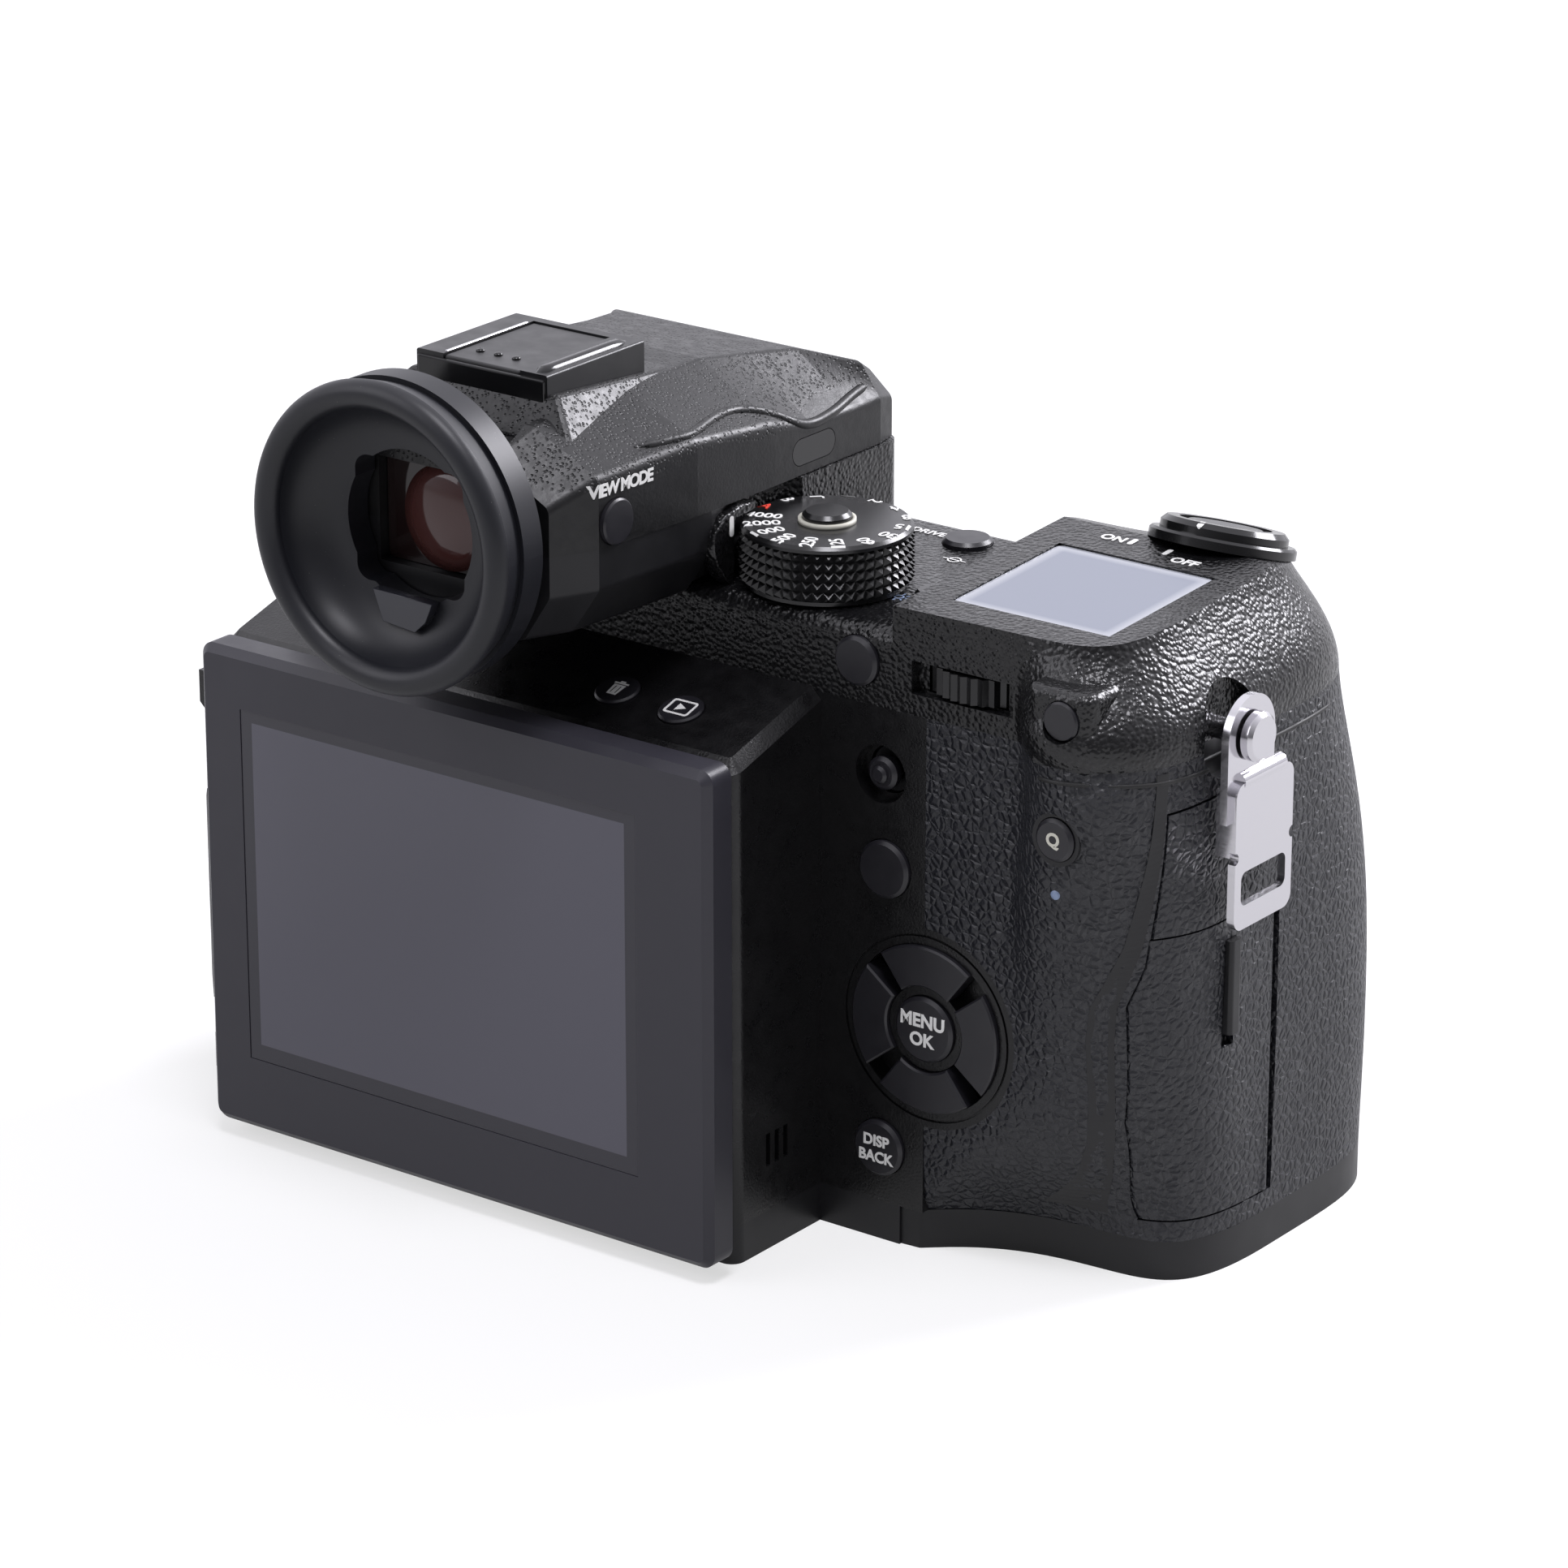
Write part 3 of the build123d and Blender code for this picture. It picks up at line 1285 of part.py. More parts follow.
def screen_frame():
    back = panel_face + panel_depth
    body = block((-panel_left, panel_right), (panel_face, back), (panel_bottom, panel_top))
    body = round_screen_corners(body)
    body = chamfer(body.faces().sort_by(Axis.Y)[0].edges(), panel_bevel)
    body = chamfer(body.faces().sort_by(Axis.Y)[-1].edges(), panel_bevel / 2)
    body -= block((-panel_left + panel_rim, panel_right - panel_rim), (back - panel_recess, back + overrun),
                  (tilt_axis_z - knuckle - 2 * slide_gap, flip_axis_z + knuckle + 2 * slide_gap))
    body -= block((glass_x - glass_width / 2, glass_x + glass_width / 2),
                  (panel_face - overrun, panel_face + glass_thickness + glass_sunk),
                  (glass_z - glass_height / 2, glass_z + glass_height / 2))
    for side in (-1, 1):
        start = side * (arm_half_width + seam_gap)
        span = sorted((start, start + side * ear_width))
        ear = block(span, (back - panel_recess, tilt_axis_y), (flip_axis_z - knuckle, flip_axis_z + knuckle))
        ear += rod((span[0], tilt_axis_y, flip_axis_z), rightward, knuckle, ear_width)
        ear += rod((start - (pin_length if side > 0 else 0), tilt_axis_y, flip_axis_z), rightward,
                   pin_radius, pin_length)
        body += ear
    return body


def screen_glass():
    width = glass_width - slide_gap
    height = glass_height - slide_gap
    return block((glass_x - width / 2, glass_x + width / 2),
                 (panel_face + glass_sunk, panel_face + glass_sunk + glass_thickness),
                 (glass_z - height / 2, glass_z + height / 2))


def screen_tilt_arm():
    """The leaf between the two horizontal hinge lines behind the screen."""
    half = leaf_thickness / 2 - seam_gap / 2
    body = block((-arm_half_width, arm_half_width), (tilt_axis_y - half, tilt_axis_y + half),
                 (tilt_axis_z, flip_axis_z))
    for level in (tilt_axis_z, flip_axis_z):
        body += rod((-arm_half_width, tilt_axis_y, level), rightward, knuckle, 2 * arm_half_width)
        body -= rod((-arm_half_width - skin, tilt_axis_y, level), rightward, pin_radius + turn_gap,
                    pin_length + seam_gap + skin)
        body -= rod((arm_half_width + skin, tilt_axis_y, level), leftward, pin_radius + turn_gap,
                    pin_length + seam_gap + skin)
    return body


def screen_side_frame():
    """The leaf in the housing's pocket that swings the whole screen out sideways."""
    half = leaf_thickness / 2
    body = block((-leaf_left, swing_axis_x), (swing_axis_y - half, swing_axis_y + half),
                 (pocket_bottom + seam_gap, pocket_top - seam_gap))
    body += rod((swing_axis_x, swing_axis_y, pocket_bottom + seam_gap), upward, swing_knuckle,
                pocket_top - pocket_bottom - 2 * seam_gap)
    body += rod((swing_axis_x, swing_axis_y, pocket_bottom + seam_gap - pin_length), upward, pin_radius,
                pocket_top - pocket_bottom - 2 * seam_gap + 2 * pin_length)
    for side in (-1, 1):
        start = side * (arm_half_width + seam_gap)
        span = sorted((start, start + side * ear_width))
        profile = Polyline(
            (swing_axis_y, pocket_bottom + seam_gap), (hump_face - seam_gap, pocket_bottom + seam_gap),
            (tilt_axis_y + knuckle / 2, tilt_axis_z), (tilt_axis_y - knuckle / 2, tilt_axis_z),
            (tilt_axis_y, tilt_axis_z + knuckle),
            (swing_axis_y, pocket_bottom + ear_height), close=True)
        ear = extrude(Plane.YZ * make_face(profile), amount=ear_width, dir=rightward)
        ear = Pos(span[0], 0, 0) * ear
        ear += rod((span[0], tilt_axis_y, tilt_axis_z), rightward, knuckle, ear_width)
        ear += rod((start - (pin_length if side > 0 else 0), tilt_axis_y, tilt_axis_z), rightward,
                   pin_radius, pin_length)
        body += ear
    return body


# Viewfinder
def finder_loft(sections, start, end):
    """A loft through mirrored cross sections whose corners away from the seam are rounded."""
    faces = []
    for share, *points in sections:
        mirrored = [(-x, z) for x, z in reversed(points)]
        face = make_face(Polyline(*points, *mirrored, close=True))
        corners = face.vertices().filter_by(lambda corner: abs(corner.Y - finder_seam) > skin)
        face = fillet(corners, finder_round)
        faces.append(Plane.XZ.offset(-start - share * (end - start)) * face)
    return loft(faces, ruled=True)


def cover_section(row):
    share, side, shoulder, roof_side, roof = row
    return (share, (side * finder_half_width, finder_seam),
            (side * finder_half_width, finder_seam + shoulder * finder_roof),
            (roof_side * finder_half_width, finder_seam + roof * finder_roof))


def base_section(row):
    share, side, bottom = row
    level = finder_seam - base_side_bevel_share * (finder_seam - finder_bottom)
    return (share, (side * finder_half_width, finder_seam), (side * finder_half_width, level),
            (bottom * finder_half_width, finder_bottom))


eyepiece_room = block((-eyepiece_width / 2 - slide_gap, eyepiece_width / 2 + slide_gap),
                      (finder_rear - overrun, finder_rear + 2 * eyepiece_thickness),
                      (eye_height - eyepiece_height / 2 - slide_gap,
                       eye_height + eyepiece_height / 2 + slide_gap))
def pad_shape(point, length, height, depth):
    """An oblong pad on the viewfinder's side, running inwards from the point."""
    plane = Plane(origin=point, x_dir=forward, z_dir=leftward)
    return plane * extrude(SlotOverall(length, height), amount=depth)


def viewfinder_cover():
    body = finder_loft([cover_section(row) for row in cover_shares], finder_rear, finder_front)
    body -= eyepiece_room
    body -= block((-shoe_half_width, shoe_half_width), (shoe_rear, shoe_front), (shoe_seat, far))
    body -= block((-shoe_half_width, shoe_half_width), (finder_rear - overrun, shoe_rear), (notch_floor, far))
    body -= button_well(view_point, rightward, view_button_radius, button_sunk)
    recess = (finder_half_width + skin, release_pad_y, release_pad_z)
    body -= pad_shape(recess, release_pad_length + 2 * slide_gap, release_pad_height + 2 * slide_gap,
                      button_sunk + button_travel + skin + slide_gap)
    return body


def viewfinder_base():
    body = finder_loft([base_section(row) for row in base_shares], finder_rear, finder_step)
    body -= block((-far, far), (rear_face - seam_gap, far), (0, finder_step_bottom))
    body -= eyepiece_room
    body += rail(0) + block((-rail_half_width, rail_half_width), (finder_step - skin, rail_start),
                            (finder_seam - rail_height, finder_seam))
    return body


def hot_shoe():
    body = block((-shoe_half_width, shoe_half_width), (shoe_rear, shoe_front), (shoe_seat, shoe_top))
    floor = shoe_top - shoe_lip - shoe_channel
    body -= block((-shoe_inner_half, shoe_inner_half), (shoe_rear - overrun, shoe_front - shoe_wall),
                  (floor, shoe_top - shoe_lip))
    body -= block((-shoe_mouth_half, shoe_mouth_half), (shoe_rear - overrun, shoe_front - shoe_wall),
                  (floor, shoe_top + overrun))
    outer = body.edges().filter_by(Axis.Y).filter_by(
        lambda edge: edge.center().Z > shoe_top - groove and abs(edge.center().X) > shoe_inner_half)
    body = fillet(outer, shoe_rail_round)
    for side in (-1, 0, 1):
        body += rod((side * shoe_pin_pitch, shoe_pin_y, floor), upward, shoe_pin_radius, shoe_pin_stand)
    return body


def eyecup():
    """The round rubber cup: a rolled lip, a waist, a band and a bowl down to the aperture."""
    lip_back = eye_lip + eye_lip_round
    lip_inner_radius = eye_max_radius - 2 * eye_lip_round
    outer = [
        (eye_throat_radius, eye_root), (eye_root_radius, eye_root),
        (eye_root_radius, eye_root - eye_neck), (eye_band_radius, eye_root - eye_neck),
        (eye_band_radius, eye_waist), (eye_waist_radius, eye_waist), (eye_max_radius, lip_back),
    ]
    bowl_middle = ((lip_inner_radius + eye_throat_radius) / 2 + skin, (lip_back + eye_floor) / 2 + skin)
    edges = [
        Polyline(*outer),
        ThreePointArc(outer[-1], (eye_max_radius - eye_lip_round, eye_lip), (lip_inner_radius, lip_back)),
        ThreePointArc((lip_inner_radius, lip_back), bowl_middle, (eye_throat_radius, eye_floor)),
        Line((eye_throat_radius, eye_floor), outer[0]),
    ]
    cup = revolve(make_face(edges), Axis.Y)
    aperture = extrude(Plane.XZ * RectangleRounded(eye_aperture_width, eye_aperture_height, 2 * skin),
                       amount=far, both=True)
    return Pos(0, 0, eye_height) * (cup - aperture)


def eyepiece_lens():
    plate = RectangleRounded(eyepiece_width, eyepiece_height, skin)
    seat = (0, finder_rear + 2 * eyepiece_thickness, eye_height)
    plane = Plane(origin=seat, x_dir=rightward, z_dir=backward)
    return plane * extrude(plate, amount=eyepiece_thickness)


key_turns = {"right_key": 0, "up_key": 90, "left_key": 180, "down_key": 270}
parts = {
    "front_casting": front_casting(),
    "rear_cover": rear_cover(),
    "top_cover": top_cover(),
    "base_plate": base_plate(),
    "screen_housing": screen_housing(),
    "grip_shell": grip_shell(),
    "leather_covering": leather_covering(),
    "tripod_bush": tripod_bush(),
    "lens_mount_ring": lens_mount_ring(),
    "lens_contacts": lens_contacts(),
    "shutter_unit": shutter_unit(),
    "image_sensor": image_sensor(),
    "main_board": main_board(),
    "battery": battery(),
    "card_slots": card_slots(),
    "connector_panel": connector_panel(),
    "top_display": top_display(),
    "strap_studs": strap_studs(),
    "speed_dial": turning_dial(dial_x, dial_y, dial_radius, dial_top, pyramid_knurl),
    "speed_dial_lock": dial_lock(dial_x, dial_y, dial_top),
    "iso_dial": turning_dial(iso_x, iso_y, iso_radius, iso_top, rib_knurl),
    "iso_dial_lock": dial_lock(iso_x, iso_y, iso_top),
    "drive_button": push_button((*drive_place, deck_height), upward, top_button_radius,
                                button_stand, button_sunk),
    "lamp_button": push_button((*lamp_place, deck_height), upward, lamp_radius,
                               button_stand, button_sunk),
    "power_lever": power_lever(),
    "shutter_button": shutter_button(),
    "front_command_dial": command_dial(front_dial_centre, front_dial_radius, front_dial_width),
    "rear_command_dial": command_dial(rear_dial_centre, rear_dial_radius, rear_dial_width),
    "exposure_lock_button": push_button(rear_point(exposure_lock_place), backward,
                                        exposure_lock_radius, button_stand, button_sunk),
    "focus_gimbal": focus_gimbal(),
    "focus_stick": focus_stick(),
    "autofocus_button": push_button(rear_point(autofocus_place), backward, autofocus_radius,
                                    button_stand, button_sunk),
    "menu_button": push_button(rear_point(menu_place), backward, menu_radius, button_stand, button_sunk),
    "back_button": push_button(rear_point(back_place), backward, back_radius, button_stand, button_sunk),
    "quick_button": push_button(quick_point, backward, quick_radius, button_stand, button_sunk),
    "thumb_button": push_button(thumb_point, backward, thumb_radius, small_stand, button_sunk),
    "delete_button": push_button(hump_point(delete_place), hump_heading, hump_button_radius,
                                 small_stand, button_sunk),
    "playback_button": push_button(hump_point(playback_place), hump_heading, hump_button_radius,
                                   small_stand, button_sunk),
    "lens_release_button": push_button(release_point, forward, release_radius, release_stand, button_sunk),
    "screen_side_frame": screen_side_frame(),
    "screen_tilt_arm": screen_tilt_arm(),
    "screen_frame": screen_frame(),
    "screen_glass": screen_glass(),
    "card_door": card_door(),
    "card_latch": card_latch(),
    "battery_door": battery_door(),
    "connector_door": connector_door(),
    "strap_clip_right": strap_clip(stud_right_head, stud_z, 1),
    "strap_clip_left": strap_clip(stud_left_head, stud_left_z, -1),
    "viewfinder_cover": viewfinder_cover(),
    "viewfinder_base": viewfinder_base(),
    "hot_shoe": hot_shoe(),
    "eyecup": eyecup(),
    "eyepiece_lens": eyepiece_lens(),
    "view_mode_button": push_button(view_point, rightward, view_button_radius, small_stand, button_sunk),
    "viewfinder_release": pad_shape(release_pad, release_pad_length, release_pad_height, button_sunk),
}
parts |= {name: arc_key(turn) for name, turn in key_turns.items()}
for name, shape in parts.items():
    export_step(shape, f"parts/{name}.step")
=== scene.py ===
import math

import bmesh
import bpy
from mathutils import Matrix, Vector
from mathutils.bvhtree import BVHTree


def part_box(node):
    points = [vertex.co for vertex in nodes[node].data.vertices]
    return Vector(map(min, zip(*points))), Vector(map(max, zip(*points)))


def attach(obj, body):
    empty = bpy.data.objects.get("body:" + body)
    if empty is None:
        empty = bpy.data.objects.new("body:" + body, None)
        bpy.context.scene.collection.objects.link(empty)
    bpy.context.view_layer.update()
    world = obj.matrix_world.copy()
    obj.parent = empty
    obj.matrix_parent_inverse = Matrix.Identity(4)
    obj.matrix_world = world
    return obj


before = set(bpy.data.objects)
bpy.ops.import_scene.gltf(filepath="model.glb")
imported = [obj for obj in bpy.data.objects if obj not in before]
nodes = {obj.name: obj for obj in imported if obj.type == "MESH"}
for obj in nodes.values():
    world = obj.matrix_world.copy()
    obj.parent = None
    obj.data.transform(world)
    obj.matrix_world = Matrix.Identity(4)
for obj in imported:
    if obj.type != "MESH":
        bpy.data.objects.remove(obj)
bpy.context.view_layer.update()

MM = 0.001


# Materials: every finish is a Principled surface whose bump, roughness and tints come from Object
# coordinates
class NodeTree:
    """The node tree of a material or a world, with short calls for its nodes."""

    def __init__(self, holder):
        holder.use_nodes = True
        self.tree = holder.node_tree

    def feed(self, socket, value):
        """Sets a socket to a value, or links it where the value is another node's output."""
        if hasattr(value, "is_linked"):
            self.tree.links.new(value, socket)
        else:
            socket.default_value = value

    def node(self, kind, **settings):
        """Adds a node: settings that name a socket feed it, the others set the node itself."""
        made = self.tree.nodes.new(kind)
        for label, value in settings.items():
            socket = made.inputs.get(label.replace("_", " "))
            if socket is None:
                setattr(made, label, value)
            else:
                self.feed(socket, value)
        return made

    def combine(self, operation, first, second=0.0):
        """The result of a Math node on two values, each a number or another node's output."""
        made = self.node("ShaderNodeMath", operation=operation)
        for socket, value in zip(made.inputs, (first, second)):
            self.feed(socket, value)
        return made.outputs["Value"]

    def remap(self, value, low, high, new_low=0.0, new_high=1.0):
        """Stretches a value from one range to another, and clamps it."""
        return self.node("ShaderNodeMapRange", Value=value, From_Min=low, From_Max=high,
                         To_Min=new_low, To_Max=new_high).outputs["Result"]


class Finish(NodeTree):
    """A material being built, with short calls for what varies over its surface."""

    def __init__(self, name, colour, roughness, **sockets):
        self.material = bpy.data.materials.new(name)
        super().__init__(self.material)
        self.surface = self.tree.nodes["Principled BSDF"]
        self.surface.inputs["Base Color"].default_value = (*colour, 1)
        self.surface.inputs["Roughness"].default_value = roughness
        for label, value in sockets.items():
            self.surface.inputs[label.replace("_", " ")].default_value = value
        self.place = self.node("ShaderNodeTexCoord").outputs["Object"]

    def noise(self, size, detail):
        """Cloudy noise whose patches are about this size in metres."""
        return self.node("ShaderNodeTexNoise", Vector=self.place, Scale=1 / size,
                         Detail=detail).outputs["Fac"]

    def cells(self, size, feature="F1", **more):
        """Distance inside cells of about this size in metres."""
        place = more.pop("Vector", self.place)
        return self.node("ShaderNodeTexVoronoi", Vector=place, feature=feature, Scale=1 / size,
                         **more).outputs["Distance"]

    def along(self, axis):
        """The Object coordinate along X, Y or Z, in metres."""
        return self.node("ShaderNodeSeparateXYZ", Vector=self.place).outputs[axis]

    def within(self, axis, centre, half, soft):
        """One inside a band round a coordinate, and nought outside it."""
        off = self.combine("ABSOLUTE", self.combine("SUBTRACT", self.along(axis), centre))
        return self.remap(off, half - soft, half, 1.0, 0.0)

    def tint(self, value, dark, light):
        """Colours the surface between two colours by a value."""
        ramp = self.node("ShaderNodeValToRGB", Fac=value)
        ramp.color_ramp.elements[0].color = (*dark, 1)
        ramp.color_ramp.elements[1].color = (*light, 1)
        self.feed(self.surface.inputs["Base Color"], ramp.outputs["Color"])

    def roughen(self, value, low, high):
        """Varies the roughness between two levels by the middle stretch of a noise."""
        self.feed(self.surface.inputs["Roughness"], self.remap(value, 0.3, 0.7, low, high))

    def bump(self, *layers):
        """Stacks bump layers, each a height value, its depth in metres and its strength."""
        normal = None
        for height, depth, strength in layers:
            made = self.node("ShaderNodeBump", Height=height, Distance=depth, Strength=strength)
            if normal is not None:
                self.feed(made.inputs["Normal"], normal)
            normal = made.outputs["Normal"]
        self.feed(self.surface.inputs["Normal"], normal)


def crinkle_paint():
    """The pebbled black enamel of the top housing."""
    made = Finish("crinkle_paint", (0.0048, 0.0048, 0.0054), 0.27, Specular_IOR_Level=0.5)
    pebbles = made.cells(0.62 * MM, "SMOOTH_F1", Smoothness=0.6)
    made.roughen(made.noise(1.6 * MM, 3.0), 0.20, 0.33)
    made.bump((made.remap(pebbles, 0.1, 0.8, 1.0, 0.0), 0.17 * MM, 0.75),
              (made.noise(0.25 * MM, 2.0), 0.025 * MM, 0.4))
    return made.material


def finder_paint():
    """The finder's enamel: satin with round pits, down to a waved line below which it is smooth."""
    line_height, wave_height, wave_number, edge = 104.6 * MM, 0.9 * MM, 210.0, 0.6 * MM
    made = Finish("finder_paint", (0.0048, 0.0048, 0.0053), 0.40, Specular_IOR_Level=0.45)
    wave = made.combine("SINE", made.combine("MULTIPLY", made.along("Y"), wave_number))
    line = made.combine("ADD", made.combine("MULTIPLY", wave, wave_height), line_height)
    above = made.remap(made.combine("SUBTRACT", made.along("Z"), line), -edge, edge)
    holes = made.remap(made.cells(0.58 * MM, Randomness=1.0), 0.12, 0.40, 1.0, 0.0)
    pits = made.combine("MULTIPLY", holes, above)
    made.roughen(made.noise(1.6 * MM, 3.0), 0.34, 0.46)
    made.bump((made.combine("SUBTRACT", 1.0, pits), 0.13 * MM, 0.9),
              (made.noise(0.45 * MM, 2.0), 0.04 * MM, 0.6))
    return made.material


def fine_paint():
    """The finer black enamel of the rear cover, the front casting and the screen housing."""
    made = Finish("fine_paint", (0.0048, 0.0047, 0.0052), 0.30, Specular_IOR_Level=0.45)
    made.roughen(made.noise(2.5 * MM, 2.0), 0.25, 0.37)
    made.bump((made.noise(0.34 * MM, 3.0), 0.07 * MM, 0.6))
    return made.material


def satin_plastic(name, colour):
    """Smooth dark satin plastic."""
    made = Finish(name, colour, 0.4, Specular_IOR_Level=0.42)
    made.roughen(made.noise(6 * MM, 3.0), 0.34, 0.44)
    made.bump((made.noise(0.12 * MM, 2.0), 0.012 * MM, 0.3))
    return made.material


def leather_rubber():
    """Moulded leather grain: flat pads of uneven size with fine creases between them."""
    sway = 0.7 * MM
    made = Finish("leather_rubber", (0.0105, 0.0112, 0.0150), 0.40, Specular_IOR_Level=0.55)
    warp = made.node("ShaderNodeTexNoise", Vector=made.place, Scale=1 / (1.3 * MM), Detail=2.0)
    swayed = made.node("ShaderNodeVectorMath", operation="MULTIPLY_ADD")
    for socket, value in zip(swayed.inputs, (warp.outputs["Color"], (sway,) * 3, made.place)):
        made.feed(socket, value)
    creases = made.cells(1.25 * MM, "DISTANCE_TO_EDGE", Vector=swayed.outputs["Vector"])
    pads = made.remap(creases, 0.0, 0.30)
    made.roughen(made.noise(4 * MM, 2.0), 0.35, 0.46)
    made.bump((pads, 0.27 * MM, 0.85), (made.noise(0.3 * MM, 3.0), 0.04 * MM, 0.4))
    return made.material


def soft_rubber():
    """The eyecup's blue grey rubber, with fine pale dust on it."""
    made = Finish("soft_rubber", (0.006, 0.0075, 0.0105), 0.42, Specular_IOR_Level=0.45)
    patch = made.remap(made.noise(9 * MM, 2.0), 0.45, 0.6)
    speck = made.remap(made.cells(1.1 * MM, Randomness=1.0), 0.035, 0.06, 1.0, 0.0)
    dust = made.combine("MULTIPLY", speck, patch)
    made.tint(dust, (0.0085, 0.0090, 0.0125), (0.13, 0.13, 0.12))
    made.bump((made.noise(0.5 * MM, 3.0), 0.01 * MM, 0.3))
    return made.material


def plain_finish(name, colour, roughness, grain=0.2, **sockets):
    """A smooth finish with slight unevenness."""
    made = Finish(name, colour, roughness, **sockets)
    made.roughen(made.noise(3 * MM, 2.0), roughness * 0.88, roughness * 1.15)
    made.bump((made.noise(0.2 * MM, 2.0), 0.01 * MM, grain))
    return made.material


def monitor_glass():
    """The screen's glass: a lighter picture area inside a darker border; the picture area's pale
    grey is partly the panel's own grey and partly painted reflection of the white surround.
    """
    middle_x, middle_z, half_width, half_height = -2.0 * MM, 38.6 * MM, 31.8 * MM, 23.4 * MM
    edge = 0.08 * MM
    made = Finish("monitor_glass", (0.03, 0.03, 0.037), 0.1)
    picture = made.combine("MULTIPLY", made.within("X", middle_x, half_width, edge),
                           made.within("Z", middle_z, half_height, edge))
    # The lighter tint of the picture area is partly painted reflection of the white surround.
    made.tint(picture, (0.032, 0.031, 0.040), (0.090, 0.088, 0.112))
    made.roughen(made.noise(20 * MM, 2.0), 0.09, 0.13)
    return made.material


def display_glass():
    """The small top display: blue grey, paler towards its edges; its pale tone is partly its own
    blue grey and partly painted reflection of the bright surround above.
    """
    middle_x, middle_y, half, edge = 70.5 * MM, -2.7 * MM, 11.6 * MM, 1.4 * MM
    made = Finish("display_glass", (0.34, 0.37, 0.43), 0.14)
    inner = made.combine("MULTIPLY", made.within("X", middle_x, half, edge),
                         made.within("Y", middle_y, half, edge))
    # The pale blue grey, palest at the edges, is partly painted reflection of the bright surround.
    made.tint(inner, (0.40, 0.415, 0.455), (0.22, 0.24, 0.295))
    made.roughen(made.noise(12 * MM, 2.0), 0.12, 0.17)
    return made.material


def polished_steel():
    """The bright steel of studs, clips and bush, with fine level lines."""
    stretch, line_size = (1.0, 1.0, 14.0), 1.4 * MM
    made = Finish("polished_steel", (0.64, 0.63, 0.66), 0.2, Metallic=1.0)
    brush = made.node("ShaderNodeMapping", Vector=made.place, Scale=stretch)
    lines = made.node("ShaderNodeTexNoise", Vector=brush.outputs["Vector"], Scale=1 / line_size,
                      Detail=2.0)
    made.roughen(lines.outputs["Fac"], 0.11, 0.20)
    return made.material


finishes = {
    "crinkle_paint": crinkle_paint(),
    "finder_paint": finder_paint(),
    "fine_paint": fine_paint(),
    "satin_plastic": satin_plastic("satin_plastic", (0.0085, 0.0085, 0.0098)),
    "screen_satin": satin_plastic("screen_satin", (0.032, 0.031, 0.040)),
    "leather_rubber": leather_rubber(),
    "soft_rubber": soft_rubber(),
    "button_plastic": plain_finish("button_plastic", (0.013, 0.0125, 0.016), 0.34),
    "gloss_plastic": plain_finish("gloss_plastic", (0.007, 0.007, 0.0075), 0.16),
    "dial_metal": plain_finish("dial_metal", (0.006, 0.006, 0.0065), 0.24),
    "hinge_metal": plain_finish("hinge_metal", (0.03, 0.03, 0.032), 0.35, Metallic=0.6),
    "shoe_metal": plain_finish("shoe_metal", (0.008, 0.008, 0.009), 0.36),
    "steel": polished_steel(),
    "mount_metal": plain_finish("mount_metal", (0.6, 0.6, 0.6), 0.24, Metallic=1.0),
    "dark_parts": plain_finish("dark_parts", (0.008, 0.008, 0.008), 0.55),
    "circuit_board": plain_finish("circuit_board", (0.01, 0.05, 0.02), 0.4),
    "sensor_glass": plain_finish("sensor_glass", (0.02, 0.03, 0.035), 0.06, grain=0.0),
    "monitor_glass": monitor_glass(),
    "display_glass": display_glass(),
    "eyepiece_glass": plain_finish("eyepiece_glass", (0.012, 0.006, 0.006), 0.06, grain=0.0),
    "lens_red": plain_finish("lens_red", (0.06, 0.022, 0.02), 0.09, grain=0.0),
    "window_grey": plain_finish("window_grey", (0.035, 0.036, 0.045), 0.16, grain=0.0),
    "white_ink": plain_finish("white_ink", (0.85, 0.85, 0.83), 0.5),
    "cream_ink": plain_finish("cream_ink", (0.62, 0.61, 0.53), 0.5),
    "red_ink": plain_finish("red_ink", (0.80, 0.07, 0.045), 0.5),
    "pale_blue": plain_finish("pale_blue", (0.24, 0.31, 0.46), 0.3),
}

node_finishes = {
    "crinkle_paint": ("top_cover",),
    "finder_paint": ("viewfinder_cover",),
    "fine_paint": ("rear_cover", "front_casting", "screen_housing"),
    "satin_plastic": ("base_plate", "grip_shell", "battery_door", "card_latch", "viewfinder_base"),
    "screen_satin": ("screen_frame",),
    "leather_rubber": ("leather_covering", "card_door", "connector_door"),
    "soft_rubber": ("eyecup",),
    "button_plastic": ("drive_button", "exposure_lock_button", "autofocus_button", "menu_button",
                       "back_button", "quick_button", "thumb_button", "delete_button",
                       "playback_button", "up_key", "down_key", "left_key", "right_key",
                       "lens_release_button", "view_mode_button", "focus_stick"),
    "gloss_plastic": ("lamp_button", "viewfinder_release", "power_lever"),
    "dial_metal": ("speed_dial", "speed_dial_lock", "iso_dial", "iso_dial_lock",
                   "shutter_button", "front_command_dial", "rear_command_dial"),
    "hinge_metal": ("screen_side_frame", "screen_tilt_arm", "focus_gimbal"),
    "shoe_metal": ("hot_shoe",),
    "steel": ("strap_studs", "strap_clip_right", "strap_clip_left", "tripod_bush"),
    "mount_metal": ("lens_mount_ring",),
    "dark_parts": ("lens_contacts", "shutter_unit", "battery", "card_slots", "connector_panel"),
    "circuit_board": ("main_board",),
    "sensor_glass": ("image_sensor",),
    "monitor_glass": ("screen_glass",),
    "display_glass": ("top_display",),
    "eyepiece_glass": ("eyepiece_lens",),
}


def dress_nodes():
    """Gives each solid of the frame its finish."""
    for finish, names in node_finishes.items():
        for name in names:
            slots = nodes[name].material_slots
            if not slots:
                nodes[name].data.materials.append(finishes[finish])
            for slot in slots:
                slot.material = finishes[finish]


